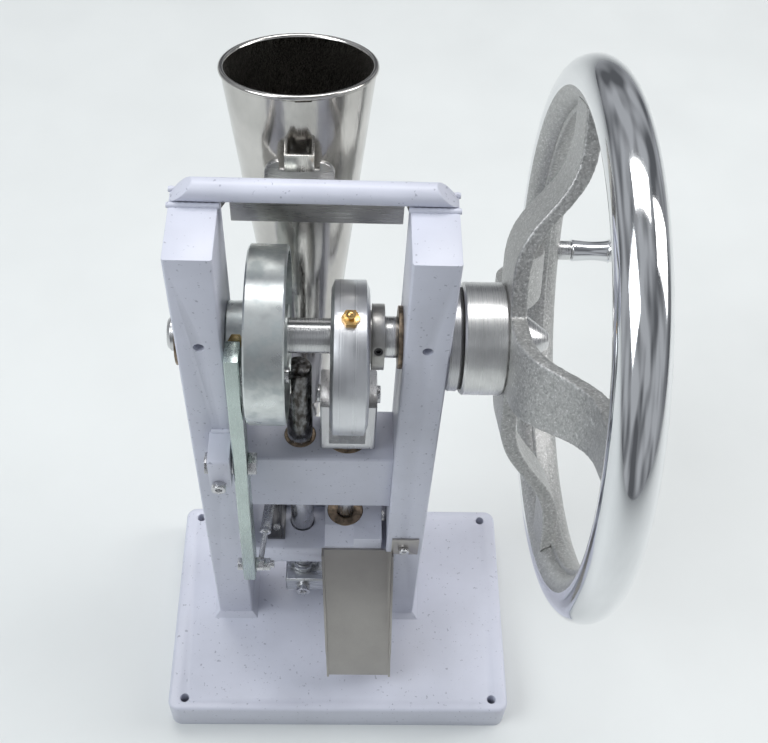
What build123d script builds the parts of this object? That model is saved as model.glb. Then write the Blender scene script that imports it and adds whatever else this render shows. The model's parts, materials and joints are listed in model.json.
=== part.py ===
"""Hand-cranked single-punch tablet press, one solid for each piece, in millimetres.

The origin is the centre of the base plate's underside. X points right, towards the handwheel, Y
points to the back, where the hopper stands, and Z points up.
"""

import os
from math import atan2, cos, degrees, radians, sin, sqrt

from build123d import *

# Fits and gaps between pieces
RUN_FIT = 0.05
SIDE_GAP = 0.3
SHEET_GAP = 0.3

# Base plate
BASE_WIDTH = 250.0
BASE_DEPTH = 168.0
BASE_THICK = 30.0
BASE_CORNER_R = 8.0
BASE_EDGE_R = 2.5
BASE_HOLE_R = 3.3
BASE_HOLE_PITCH_X = 226.0
BASE_HOLE_PITCH_Y = 150.0

# Columns, cut from flat bar, and the bar that joins their tops
FRAME_X = -18.0
MACHINE_Y = 17.0
COLUMN_SPACING = 98.0
COLUMN_THICK = 25.0
COLUMN_DEPTH = 50.0
COLUMN_TOP = 436.0
COLUMN_EDGE = 1.0
WELD_LEG = 4.0
OIL_HOLE_R = 3.0
OIL_HOLE_RISE = 19.5
CARRY_BAR_R = 6.25
CARRY_BAR_BACK = 17.7
CARRY_BAR_SINK = 0.25

LEFT_INNER = FRAME_X - COLUMN_SPACING / 2
RIGHT_INNER = FRAME_X + COLUMN_SPACING / 2
LEFT_OUTER = LEFT_INNER - COLUMN_THICK
RIGHT_OUTER = RIGHT_INNER + COLUMN_THICK
COLUMN_FRONT = MACHINE_Y - COLUMN_DEPTH / 2
COLUMN_BACK = MACHINE_Y + COLUMN_DEPTH / 2

# Press axis, lift-rod axis and cross beam
PRESS_X = 2.0
LIFT_X = -28.0
BEAM_BOTTOM = 187.0
BEAM_HEIGHT = 58.0
BEAM_DEPTH = 38.0
BEAM_EDGE = 1.2
BEAM_NOTCH_X = -21.8
BEAM_NOTCH_WIDTH = 16.5
BEAM_NOTCH_DEPTH = 5.4
RAM_BUSH_R = 14.0
LIFT_BUSH_R = 10.0
BEAM_TOP = BEAM_BOTTOM + BEAM_HEIGHT

# Die table, die block, die and guide strip
TABLE_BOTTOM = 113.0
TABLE_THICK = 20.0
TABLE_DEPTH = 46.0
TABLE_EDGE = 1.0
TABLE_ROD_HOLE_R = 8.6
TABLE_PUNCH_HOLE_R = 7.0
BLOCK_HEIGHT = 15.6
BLOCK_COLUMN_GAP = 3.6
BLOCK_LEFT = -12.0
BLOCK_STEP_X = -40.0
BLOCK_STEP_Y = 28.0
BLOCK_BACK = 66.0
NOTCH_WIDTH = 20.0
NOTCH_BACK = 5.0
NOTCH_DROP = 10.6
DIE_R = 12.5
DIE_CHAMFER = 0.6
STRIP_WIDTH = 12.0
STRIP_LEFT = -52.0
STRIP_FRONT = 1.6
STRIP_LENGTH = 36.4
STRIP_THICK = 2.0
TABLE_TOP = TABLE_BOTTOM + TABLE_THICK
TABLE_FRONT = MACHINE_Y - TABLE_DEPTH / 2
TABLE_BACK = MACHINE_Y + TABLE_DEPTH / 2
DIE_TOP = TABLE_TOP + BLOCK_HEIGHT
BLOCK_RIGHT = RIGHT_INNER - BLOCK_COLUMN_GAP
BLOCK_FRONT = TABLE_FRONT

# Crankshaft and its bearings
SHAFT_Z = 346.5
SHAFT_R = 10.0
SHAFT_LEFT = -100.0
SHAFT_CHAMFER = 2.0
SHAFT_STUD_R = 6.0
SHAFT_STUD_LENGTH = 10.0
BUSH_R = 14.0
BUSH_FLANGE_R = 18.0
LEFT_FLANGE_THICK = 3.0
RIGHT_FLANGE_THICK = 2.5
HOUSING_R = 30.0
HOUSING_THICK = 6.5
HOUSING_BORE_R = 12.0
HOUSING_EDGE = 0.8
WASHER_R = 29.0
WASHER_THICK = 1.0
KEY_WIDTH = 6.0
KEYWAY_DEPTH = 3.5
KEY_RISE = 2.5
CAM_KEYWAY_LEFT = -66.0
CAM_KEYWAY_RIGHT = 20.0
HUB_KEYWAY_INSET = 2.0

# Cam wheel with a track in each face
CAM_LEFT = -55.0
CAM_WIDTH = 22.0
CAM_R = 51.0
CAM_EDGE = 1.0
CAM_HUB_R = 19.0
TRACK_DEPTH = 7.0
TRACK_R = 47.5
LEVER_CAM_R = 20.7
LIFT_CAM_R = 18.4
CAM_LOBE = 1.5
CAM_RIGHT = CAM_LEFT + CAM_WIDTH
CAM_BOLT_AF = 8.0
CAM_BOLT_R = 2.5
CAM_BOLT_PROUD = 1.2
CAM_BOLT_SEAT = 1.8
CAM_BOLT_ANGLE = 40.0

# Eccentric, strap and grease nipple
ECCENTRIC_THROW = 12.0
ECCENTRIC_ANGLE = 53.0
ECCENTRIC_R = 34.0
STRAP_LEFT = -9.1
STRAP_WIDTH = 21.4
STRAP_R = 44.0
STRAP_BEVEL_R = 5.0
STRAP_BEVEL_X = 2.0
STRAP_PIN_REACH = 50.0
STRAP_LUG_R = 9.3
STRAP_LUG_ROOT = 17.0
STRAP_PIN_HOLE_R = 5.0
NIPPLE_ANGLE = 80.0
NIPPLE_AF = 9.0
NIPPLE_HEX_HEIGHT = 3.0
NIPPLE_BALL_R = 2.6
NIPPLE_HEIGHT = 8.0
COLLAR_R = 18.8
COLLAR_WIDTH = 7.0
COLLAR_GAP = 1.5
COLLAR_NECK_R = 15.0
SPACER_R = 11.8
SPACER_HOLE_R = 1.2
SPACER_HOLE_ANGLE = 110.0
STRAP_RIGHT = STRAP_LEFT + STRAP_WIDTH
COLLAR_LEFT = STRAP_RIGHT + COLLAR_GAP
COLLAR_RIGHT = COLLAR_LEFT + COLLAR_WIDTH
ECC_Y = MACHINE_Y - ECCENTRIC_THROW * sin(radians(ECCENTRIC_ANGLE))
ECC_Z = SHAFT_Z - ECCENTRIC_THROW * cos(radians(ECCENTRIC_ANGLE))
LUG_DROP = sqrt(STRAP_PIN_REACH**2 - (MACHINE_Y - ECC_Y) ** 2)
LUG_Z = ECC_Z - LUG_DROP

# Grub screws in the collar and the wheel hub
GRUB_R = 2.5
GRUB_SOCKET = 2.5
GRUB_SOCKET_AF = 2.6
GRUB_SUNK = 0.8
COLLAR_GRUB_ANGLE = 25.5
HUB_GRUB_ANGLE = 125.0

# Ram, its fork and the upper punch
FORK_WIDTH = 34.0
FORK_DEPTH = 28.0
FORK_BOTTOM = 250.5
FORK_EAR_RISE = 5.5
FORK_FLOOR_GAP = 0.8
FORK_SIDE_GAP = 0.5
FORK_EDGE = 1.0
RAM_R = 11.0
RAM_BOTTOM = 172.8
RAM_CHAMFER = 1.5
FORK_SCREW_R = 3.5
FORK_SCREW_HEAD_R = 5.4
FORK_SCREW_HEAD = 2.0
PUNCH_R = 6.0
PUNCH_EDGE = 0.3
PUNCH_TIP = 151.0
PUNCH_SOCKET = 16.0
PUNCH_SCREW_RISE = 6.0

# Lift rod, roller, nuts, yoke and lower punch
LIFT_STROKE_UP = 13.0
LIFT_ROD_R = 8.0
LIFT_ROD_EDGE = 0.8
LIFT_ROD_TOP = 317.0
LIFT_ROD_TAIL = 12.0
LIFT_FLAT_DROP = 1.2
LIFT_FLAT_GAP = 0.7
LIFT_ROLLER_R = 5.0
LIFT_ROLLER_WIDTH = 6.2
LIFT_ROLLER_Z = 308.0
ROLLER_PIN_R = 2.5
YOKE_LEFT = -41.0
YOKE_RIGHT = 12.0
YOKE_BOTTOM = 54.5
YOKE_THICK = 17.0
YOKE_DEPTH = 33.5
YOKE_EDGE = 1.0
LIFT_NUT_R = 11.0
LIFT_NUT_THICK = 6.0
LIFT_NUT_NOTCHES = 4
LIFT_NUT_NOTCH_R = 2.0
YOKE_SCREW_R = 3.0
YOKE_SCREW_LENGTH = 9.0
YOKE_HEAD_R = 5.0
YOKE_HEAD = 5.5
YOKE_SOCKET_AF = 5.0
YOKE_TOP = YOKE_BOTTOM + YOKE_THICK
LOWER_PUNCH_TIP = DIE_TOP - LIFT_STROKE_UP

# Feed lever, its bracket, pivot, roller and foot bolt
LEVER_LEFT = -65.5
LEVER_THICK = 8.0
LEVER_WIDTH = 15.0
LEVER_LEAN = 4.5
LEVER_UP = 100.3
LEVER_DOWN = 121.9
LEVER_EDGE = 0.6
PIVOT_Y = -20.0
PIVOT_Z = 268.5
PIVOT_R = 4.0
PIVOT_SHOULDER_R = 6.5
PIVOT_HEAD_AF = 13.0
PIVOT_HEAD = 3.0
PIVOT_NUT = 5.0
LEVER_ROLLER_REACH = 77.5
LEVER_ROLLER_R = 6.0
LEVER_ROLLER_WIDTH = 6.0
LEVER_PIN_R = 3.0
FOOT_REACH = 113.85
FOOT_BOLT_R = 2.5
FOOT_HEAD_AF = 8.0
FOOT_HEAD = 4.0
FOOT_BOLT_TAIL = 2.5
BRACKET_WIDTH = 13.0
BRACKET_DEPTH = 22.6
BRACKET_EDGE = 1.0
BRACKET_BOTTOM = 258.0
BRACKET_HEIGHT = 27.6
BRACKET_SCREW_X = -74.4
BRACKET_SCREW_Z = 261.7
LEVER_RIGHT = LEVER_LEFT + LEVER_THICK
FOOT_Y = PIVOT_Y - FOOT_REACH * sin(radians(LEVER_LEAN))
FOOT_Z = PIVOT_Z - FOOT_REACH * cos(radians(LEVER_LEAN))

# Small socket-head screws
SMALL_SCREW_R = 2.5
SMALL_HEAD_R = 4.25
SMALL_HEAD = 4.5
SMALL_SOCKET_AF = 4.0

# Feed shoe on its upright pivot
SHOE_X = -24.5
SHOE_Y = 52.0
SHOE_LIFT = 0.3
SHOE_THICK = 7.6
SHOE_ROOF = 2.5
CUP_R = 14.0
CUP_WALL = 2.0
CUP_TOP = 180.0
MOUTH_R = 11.0
MOUTH_CAVITY_R = 8.0
SHOE_PIN_R = 4.0
SHOE_PIN_TOP = 154.6
SHOE_PIN_HEAD_R = 6.5
SHOE_PIN_HEAD = 3.0
DROP_HOLE_R = 3.5
DROP_HOLE_REACH = 8.2
CHANNEL_START = 12.0
CHANNEL_R = 4.0
SHOE_SWING = 34.5
TAIL_REACH = 24.0
TAIL_ANGLE = 197.0
TAIL_R = 5.0
TAIL_ROOT_R = 8.0
TAIL_PIN_R = 2.5
TAIL_PIN_TOP = 166.0
SHOE_BOTTOM = DIE_TOP + SHOE_LIFT
SHOE_TOP = SHOE_BOTTOM + SHOE_THICK
MOUTH_REACH = sqrt((PRESS_X - SHOE_X) ** 2 + (SHOE_Y - MACHINE_Y) ** 2)

# Link from the lever's foot to the shoe's tail
LINK_EYE_R = 4.6
LINK_EYE_WIDTH = 5.0
LINK_ROD_R = 1.9
LINK_SLEEVE_R = 3.6
LINK_SLEEVE_START = 26.0
LINK_NUT_AF = 7.0
LINK_NUT = 3.0
TAIL_EYE_R = 7.5
TAIL_EYE_HOLE_R = 4.6
TAIL_EYE_THICK = 5.0
TAIL_EYE_LIFT = 1.2
LINK_X = LEVER_RIGHT + SIDE_GAP + LINK_EYE_WIDTH / 2

# Hopper, leaning back over the shoe, with its spout, seam, hook and bracket
HOPPER_LEAN = 16.3
HOPPER_SIDE_LEAN = 1.0
HOPPER_CROSS_Z = 176.0
SPOUT_TIP = 4.0
SPOUT_R = 8.0
SPOUT_WALL = 1.0
SPOUT_SLEEVE = 8.0
CONE_START = 49.0
CONE_LENGTH = 230.0
CONE_LOW_R = 12.7
CONE_TOP_R = 43.0
CONE_WALL = 1.2
SHOULDER_LENGTH = 7.0
RIM_WIRE_R = 1.7
SEAM_WIDTH = 9.0
SEAM_THICK = 1.0
SEAM_TURN = 5.3
PLATE_FRONT = 72.5
PLATE_THICK = 3.0
PLATE_BOTTOM = 379.6
PLATE_TOP = 411.0
PRONG_TOP = 426.0
PRONG_CENTRE_X = -27.4
PRONG_SPAN = 38.4
PRONG_CORNER_R = 9.0
PRONG_GAP = 21.9
PRONG_FLOOR = 420.2
TONGUE_WIDTH = 11.0
TONGUE_TOP = 428.5
ARM_THICK = 4.0
ARM_LOW = 395.0
ARM_SEAT_LOW = 421.0
HOOK_WIDTH = 16.0
HOOK_TOP = 432.5
HOOK_THICK = 1.4
HOOK_REACH = 18.0

# Discharge chute
CHUTE_TOP_Z = 135.0
CHUTE_SLOPE = 57.4
CHUTE_LENGTH = 103.9
CHUTE_LEFT = -14.0
CHUTE_TOP_WIDTH = 50.0
CHUTE_END_LEFT = -9.0
CHUTE_END_WIDTH = 46.0
CHUTE_SHEET = 1.5
CHUTE_SIDE = 9.0
CHUTE_SIDE_END = 2.5
CHUTE_SIDE_STEP = 78.0
CHUTE_TAB_BOTTOM = 117.0
CHUTE_EAR_RIGHT = 53.0
CHUTE_EAR_TOP = 154.0
CHUTE_SCREW_HEAD_R = 3.6
CHUTE_SCREW_HEAD = 2.6
CHUTE_EAR_SCREW_X = 43.0
CHUTE_EAR_SCREW_Z = 140.5
SCREW_BITE = 10.0

# Wheel hub, handwheel, cone nut and crank handle
WHEEL_HUB_R = 32.0
WHEEL_HUB_WIDTH = 24.2
HUB_EDGE = 1.0
CAST_HUB_WIDTH = 10.0
CAST_HUB_FRONT_R = 24.0
WHEEL_RIM_R = 144.5
WHEEL_TUBE_R = 13.5
WHEEL_RIM_X = 130.3
FINGER_WAVES = 28
FINGER_DEPTH = 2.5
FINGER_R = 128.5
FINGER_LEFT = 126.0
FINGER_RIGHT = 135.0
SPOKES = 4
SPOKE_ANGLE = 62.0
SPOKE_THICK = 9.0
SPOKE_ROOT_X = 92.6
SPOKE_TIP_X = 124.0
SPOKE_ROOT_WIDTH = 46.0
SPOKE_MID_WIDTH = 35.0
SPOKE_TIP_WIDTH = 29.0
SPOKE_BEND_START = 42.0
SPOKE_BEND_END = 118.0
SPOKE_WAIST_SHARE = 0.62
CONE_NUT_R = 15.3
CONE_NUT_TIP_R = 4.0
CONE_NUT_LENGTH = 16.4
HANDLE_ANGLE = 333.0
HANDLE_COLLAR_R = 6.5
HANDLE_COLLAR = 7.5
HANDLE_COLLAR_SUNK = 2.0
HANDLE_STUD_R = 4.0
HANDLE_STUD_DEPTH = 12.0
GRIP_LENGTH = 62.0
GRIP_END_R = 7.4
GRIP_WAIST_R = 6.4
GRIP_RING_R = 8.2
GRIP_SWELL_R = 9.2
GRIP_TIP_R = 3.0
GRIP_BORE_DEPTH = 48.0
HOUSING_RIGHT = RIGHT_OUTER + HOUSING_THICK
WASHER_RIGHT = HOUSING_RIGHT + WASHER_THICK
HUB_LEFT = WASHER_RIGHT + SIDE_GAP
HUB_RIGHT = HUB_LEFT + WHEEL_HUB_WIDTH
CAST_RIGHT = HUB_RIGHT + CAST_HUB_WIDTH

# Small screws of the table, the guide strip, the die block and the chute
BLOCK_SCREWS = ((20.0, 32.0), (-6.0, 33.0))
STRIP_SCREW_R = 1.5
STRIP_SCREW_DEPTH = 6.0
STRIP_HEAD_R = 2.6
STRIP_HEAD = 0.9
STRIP_SCREW_INSET = 8.0
CHUTE_TABLE_SCREWS = (-10.2, 26.6)
CHUTE_SCREW_Z = 122.5
BLOCK_SCREW_BITE = 9.0
LOCK_HEAD_AF = 7.0
LOCK_HEAD = 2.8

# Keys, collars and places along the shaft
KEY_FLOOR = SHAFT_Z + SHAFT_R - KEYWAY_DEPTH
KEY_TOP = SHAFT_Z + SHAFT_R + KEY_RISE
CAM_HUB_LEFT = LEFT_INNER + SIDE_GAP
SPACER_LEFT = COLLAR_RIGHT + SIDE_GAP
SPACER_RIGHT = RIGHT_INNER - RIGHT_FLANGE_THICK - SIDE_GAP

# Nipple stem, fork, rollers, foot nut and mouth
NIPPLE_STEM_R = 2.5
NIPPLE_STEM = 6.0
FORK_LEFT = PRESS_X - FORK_WIDTH / 2
FORK_RIGHT = PRESS_X + FORK_WIDTH / 2
FORK_FLOOR = LUG_Z - STRAP_LUG_R - 2 * ECCENTRIC_THROW - FORK_FLOOR_GAP
FORK_TOP = LUG_Z + FORK_EAR_RISE
EAR_INNER_LEFT = STRAP_LEFT - FORK_SIDE_GAP
EAR_INNER_RIGHT = STRAP_RIGHT + FORK_SIDE_GAP
FORK_SCREW_Z = LUG_Z
LIFT_ROLLER_RIGHT = CAM_RIGHT - SIDE_GAP
LIFT_ROLLER_LEFT = LIFT_ROLLER_RIGHT - LIFT_ROLLER_WIDTH
LEVER_ROLLER_LEFT = CAM_LEFT + 0.5
LEVER_ROLLER_RIGHT = LEVER_ROLLER_LEFT + LEVER_ROLLER_WIDTH
FOOT_NUT = 4.0
MOUTH_ANGLE = SHOE_SWING + degrees(atan2(MACHINE_Y - SHOE_Y, PRESS_X - SHOE_X))


def block(x_low, x_high, y_low, y_high, z_low, z_high):
    """A box given by its limits along each axis."""
    size = (x_high - x_low, y_high - y_low, z_high - z_low)
    return Pos((x_low + x_high) / 2, (y_low + y_high) / 2, (z_low + z_high) / 2) * Box(*size)


def rod_x(radius, x_low, x_high, y, z):
    """A cylinder along X."""
    return Pos((x_low + x_high) / 2, y, z) * Rot(0, 90, 0) * Cylinder(radius, x_high - x_low)


def rod_y(radius, y_low, y_high, x, z):
    """A cylinder along Y."""
    return Pos(x, (y_low + y_high) / 2, z) * Rot(90, 0, 0) * Cylinder(radius, y_high - y_low)


def rod_z(radius, z_low, z_high, x, y):
    """A cylinder along Z."""
    return Pos(x, y, (z_low + z_high) / 2) * Cylinder(radius, z_high - z_low)


def hexagon(flats):
    """A hexagon by its width across flats."""
    return RegularPolygon(flats / 2, 6, major_radius=False)


def hex_x(flats, x_low, x_high, y, z):
    """A hexagonal prism along X."""
    return extrude(Plane.YZ.offset(x_low) * Pos(y, z) * hexagon(flats), x_high - x_low)


def turned(points):
    """A solid of revolution about its own Z axis, from (radius, height) points."""
    outline = [(0, points[0][1])] + points + [(0, points[-1][1])]
    return revolve(make_face(Plane.XZ * Polyline(outline, close=True)), Axis.Z)


def shaft_turned(points, y=MACHINE_Y, z=SHAFT_Z):
    """A solid of revolution about a line along X, from (radius, x) points."""
    return Pos(0, y, z) * Rot(0, 90, 0) * turned(points)


def radial(angle, radius, x, y=MACHINE_Y, z=SHAFT_Z):
    """A plane on a wheel's rim that looks outward, at an angle up from the front."""
    outward = (0, -cos(radians(angle)), sin(radians(angle)))
    place = (x, y + radius * outward[1], z + radius * outward[2])
    return Plane(origin=place, x_dir=(1, 0, 0), z_dir=outward)


def socket_screw(shank_r, shank, head_r, head, socket_af):
    """A socket-head screw: the head stands on Z 0 and the shank hangs below it."""
    body = Pos(0, 0, head / 2) * Cylinder(head_r, head)
    body += Pos(0, 0, -shank / 2) * Cylinder(shank_r, shank)
    return body - extrude(Pos(0, 0, head / 2) * hexagon(socket_af), head / 2)


def grub_screw(length):
    """A grub screw whose outer end is on Z 0."""
    body = Pos(0, 0, -length / 2) * Cylinder(GRUB_R, length)
    return body - extrude(Pos(0, 0, -GRUB_SOCKET) * hexagon(GRUB_SOCKET_AF), GRUB_SOCKET)


def save(node, *solids):
    """Write one node, which is one solid or a group of identical fasteners."""
    shape = solids[0] if len(solids) == 1 else Compound(children=list(solids))
    export_step(shape, f"parts/{node}.step")


def base_plate():
    """The thick plate with rounded corners and four fixing holes."""
    plate = block(-BASE_WIDTH / 2, BASE_WIDTH / 2, -BASE_DEPTH / 2, BASE_DEPTH / 2, 0, BASE_THICK)
    plate = fillet(plate.edges().filter_by(Axis.Z), BASE_CORNER_R)
    plate = fillet(plate.edges().group_by(Axis.Z)[-1], BASE_EDGE_R)
    for x in (-BASE_HOLE_PITCH_X / 2, BASE_HOLE_PITCH_X / 2):
        for y in (-BASE_HOLE_PITCH_Y / 2, BASE_HOLE_PITCH_Y / 2):
            plate -= rod_z(BASE_HOLE_R, 0, BASE_THICK, x, y)
    return plate


def column(x_low):
    """A flat-bar column with its weld at the foot, bush bore and slanting oil hole."""
    x_high = x_low + COLUMN_THICK
    centre_x = (x_low + x_high) / 2
    bar = block(x_low, x_high, COLUMN_FRONT, COLUMN_BACK, BASE_THICK, COLUMN_TOP)
    bar = chamfer(bar.edges().filter_by(Axis.Z), COLUMN_EDGE)
    foot = Rectangle(COLUMN_THICK + 2 * WELD_LEG, COLUMN_DEPTH + 2 * WELD_LEG)
    bar += extrude(Pos(centre_x, MACHINE_Y, BASE_THICK) * foot, WELD_LEG, taper=45)
    bar -= rod_x(BUSH_R, x_low, x_high, MACHINE_Y, SHAFT_Z)
    drop = OIL_HOLE_RISE - BUSH_R + 1
    run = COLUMN_DEPTH / 2
    slant = Plane(
        origin=(centre_x, COLUMN_FRONT, SHAFT_Z + OIL_HOLE_RISE),
        x_dir=(1, 0, 0),
        z_dir=(0, run, -drop),
    )
    hole = slant * Cylinder(OIL_HOLE_R, 1.5 * run)
    hole -= rod_x(BUSH_R, x_low, x_high, MACHINE_Y, SHAFT_Z)
    return bar - hole


def carry_bar():
    """The round bar across the column tops, with mitred ends."""
    centre_z = COLUMN_TOP + CARRY_BAR_R - CARRY_BAR_SINK
    centre_y = MACHINE_Y + CARRY_BAR_BACK
    bar = rod_x(CARRY_BAR_R, LEFT_OUTER, RIGHT_OUTER, centre_y, centre_z)
    top = COLUMN_TOP + 2 * CARRY_BAR_R
    rise = top - COLUMN_TOP
    outline = Polyline(
        (LEFT_OUTER, COLUMN_TOP),
        (RIGHT_OUTER, COLUMN_TOP),
        (RIGHT_OUTER - rise, top),
        (LEFT_OUTER + rise, top),
        close=True,
    )
    mitre = extrude(Plane.XZ.offset(-centre_y) * make_face(outline), CARRY_BAR_R, both=True)
    return bar & mitre


def crossbeam():
    """The beam that guides the ram and the lift rod."""
    front = MACHINE_Y - BEAM_DEPTH / 2
    back = MACHINE_Y + BEAM_DEPTH / 2
    beam = block(LEFT_INNER, RIGHT_INNER, front, back, BEAM_BOTTOM, BEAM_TOP)
    beam = chamfer(beam.edges().filter_by(Axis.X), BEAM_EDGE)
    notch_left = BEAM_NOTCH_X - BEAM_NOTCH_WIDTH / 2
    notch_right = BEAM_NOTCH_X + BEAM_NOTCH_WIDTH / 2
    beam -= block(notch_left, notch_right, back - BEAM_NOTCH_DEPTH, back, BEAM_BOTTOM, BEAM_TOP)
    beam -= rod_z(RAM_BUSH_R, BEAM_BOTTOM, BEAM_TOP, PRESS_X, MACHINE_Y)
    return beam - rod_z(LIFT_BUSH_R, BEAM_BOTTOM, BEAM_TOP, LIFT_X, MACHINE_Y)


def beam_bush(outer_r, bore_r, x):
    """A plain bush through the whole beam."""
    bush = rod_z(outer_r, BEAM_BOTTOM, BEAM_TOP, x, MACHINE_Y)
    return bush - rod_z(bore_r + RUN_FIT, BEAM_BOTTOM, BEAM_TOP, x, MACHINE_Y)


def die_table():
    """The table under the die block, bored for the lift rod and the lower punch."""
    table = block(LEFT_INNER, RIGHT_INNER, TABLE_FRONT, TABLE_BACK, TABLE_BOTTOM, TABLE_TOP)
    table = chamfer(table.edges().filter_by(Axis.X), TABLE_EDGE)
    table -= rod_z(TABLE_ROD_HOLE_R, TABLE_BOTTOM, TABLE_TOP, LIFT_X, MACHINE_Y)
    table -= rod_z(TABLE_PUNCH_HOLE_R, TABLE_BOTTOM, TABLE_TOP, PRESS_X, MACHINE_Y)
    for x, y in BLOCK_SCREWS:
        table -= rod_z(SMALL_SCREW_R, TABLE_BOTTOM, TABLE_TOP, x, y)
        table -= rod_z(SMALL_HEAD_R, TABLE_BOTTOM, TABLE_BOTTOM + SMALL_HEAD, x, y)
    for x, y in strip_screw_places():
        table -= rod_z(STRIP_SCREW_R, TABLE_TOP - STRIP_SCREW_DEPTH, TABLE_TOP, x, y)
    for x in CHUTE_TABLE_SCREWS:
        table -= rod_y(SMALL_SCREW_R, TABLE_FRONT, TABLE_FRONT + SCREW_BITE, x, CHUTE_SCREW_Z)
    return table


def strip_screw_places():
    """Where the guide strip's two screws stand."""
    x = STRIP_LEFT + STRIP_WIDTH / 2
    low = STRIP_FRONT + STRIP_SCREW_INSET
    high = STRIP_FRONT + STRIP_LENGTH - STRIP_SCREW_INSET
    return ((x, low), (x, high))


def die_block():
    """The platform that holds the die, with a sloping notch for the finished tablets."""
    outline = Polyline(
        (BLOCK_LEFT, BLOCK_FRONT),
        (BLOCK_RIGHT, BLOCK_FRONT),
        (BLOCK_RIGHT, BLOCK_BACK),
        (BLOCK_STEP_X, BLOCK_BACK),
        (BLOCK_STEP_X, BLOCK_STEP_Y),
        (BLOCK_LEFT, BLOCK_STEP_Y),
        close=True,
    )
    body = extrude(Pos(0, 0, TABLE_TOP) * make_face(outline), BLOCK_HEIGHT)
    slope = Polyline(
        (NOTCH_BACK, DIE_TOP),
        (BLOCK_FRONT, DIE_TOP - NOTCH_DROP),
        (BLOCK_FRONT, DIE_TOP),
        close=True,
    )
    body -= extrude(Plane.YZ.offset(BLOCK_LEFT) * make_face(slope), NOTCH_WIDTH)
    body -= rod_z(DIE_R, TABLE_TOP, DIE_TOP, PRESS_X, MACHINE_Y)
    body -= rod_z(SHOE_PIN_R, TABLE_TOP, DIE_TOP, SHOE_X, SHOE_Y)
    for x, y in BLOCK_SCREWS:
        body -= rod_z(SMALL_SCREW_R, TABLE_TOP, TABLE_TOP + BLOCK_SCREW_BITE, x, y)
    lock_z = TABLE_TOP + BLOCK_HEIGHT / 2
    return body - rod_x(SMALL_SCREW_R, PRESS_X, BLOCK_RIGHT, MACHINE_Y, lock_z)


def die_lock_screw():
    """The screw that clamps the die from the right."""
    lock_z = TABLE_TOP + BLOCK_HEIGHT / 2
    screw = rod_x(SMALL_SCREW_R, PRESS_X, BLOCK_RIGHT, MACHINE_Y, lock_z)
    screw -= rod_z(DIE_R, TABLE_TOP, DIE_TOP, PRESS_X, MACHINE_Y)
    return screw + hex_x(LOCK_HEAD_AF, BLOCK_RIGHT, BLOCK_RIGHT + LOCK_HEAD, MACHINE_Y, lock_z)


def block_screw(x, y):
    """A screw from below the table into the die block."""
    shank = TABLE_THICK - SMALL_HEAD + BLOCK_SCREW_BITE
    screw = socket_screw(SMALL_SCREW_R, shank, SMALL_HEAD_R, SMALL_HEAD, SMALL_SOCKET_AF)
    return Pos(x, y, TABLE_BOTTOM + SMALL_HEAD) * Rot(180, 0, 0) * screw


def die():
    """The round die that the punches work in."""
    body = rod_z(DIE_R, TABLE_TOP, DIE_TOP, PRESS_X, MACHINE_Y)
    body = chamfer(body.edges().group_by(Axis.Z)[-1], DIE_CHAMFER)
    return body - rod_z(PUNCH_R + RUN_FIT, TABLE_TOP, DIE_TOP, PRESS_X, MACHINE_Y)


def guide_strip():
    """The thin strip on the table's left."""
    strip = block(
        STRIP_LEFT,
        STRIP_LEFT + STRIP_WIDTH,
        STRIP_FRONT,
        STRIP_FRONT + STRIP_LENGTH,
        TABLE_TOP,
        TABLE_TOP + STRIP_THICK,
    )
    for x, y in strip_screw_places():
        strip -= rod_z(STRIP_SCREW_R, TABLE_TOP, TABLE_TOP + STRIP_THICK, x, y)
    return strip


def strip_screw(x, y):
    """A small cheese-head screw."""
    seat = TABLE_TOP + STRIP_THICK
    return rod_z(STRIP_SCREW_R, TABLE_TOP - STRIP_SCREW_DEPTH, seat, x, y) + rod_z(
        STRIP_HEAD_R, seat, seat + STRIP_HEAD, x, y
    )


def bearing_bush(flange_low, flange_high, x_low, x_high):
    """A flanged bush for the crankshaft."""
    bush = rod_x(BUSH_R, x_low, x_high, MACHINE_Y, SHAFT_Z)
    bush += rod_x(BUSH_FLANGE_R, flange_low, flange_high, MACHINE_Y, SHAFT_Z)
    low = min(flange_low, x_low)
    high = max(flange_high, x_high)
    return bush - rod_x(SHAFT_R + RUN_FIT, low, high, MACHINE_Y, SHAFT_Z)


def ring(radius, bore_r, x_low, x_high, edge=0.0):
    """A ring about the crankshaft's axis."""
    body = rod_x(radius, x_low, x_high, MACHINE_Y, SHAFT_Z)
    if edge:
        body = chamfer(body.edges().filter_by(GeomType.CIRCLE), edge)
    return body - rod_x(bore_r, x_low, x_high, MACHINE_Y, SHAFT_Z)


def keyway(x_low, x_high, z_low, z_high):
    """The space of a key or keyway on top of the shaft."""
    half = KEY_WIDTH / 2
    return block(x_low, x_high, MACHINE_Y - half, MACHINE_Y + half, z_low, z_high)


def main_shaft():
    """The crankshaft with its keyways and threaded end."""
    shaft = shaft_turned(
        [
            (SHAFT_R - SHAFT_CHAMFER, SHAFT_LEFT),
            (SHAFT_R, SHAFT_LEFT + SHAFT_CHAMFER),
            (SHAFT_R, CAST_RIGHT),
            (SHAFT_STUD_R, CAST_RIGHT),
            (SHAFT_STUD_R, CAST_RIGHT + SHAFT_STUD_LENGTH),
        ]
    )
    above = SHAFT_Z + SHAFT_R
    shaft -= keyway(CAM_KEYWAY_LEFT, CAM_KEYWAY_RIGHT, KEY_FLOOR, above)
    return shaft - keyway(HUB_LEFT + HUB_KEYWAY_INSET, CAST_RIGHT - HUB_KEYWAY_INSET, KEY_FLOOR, above)


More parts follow.
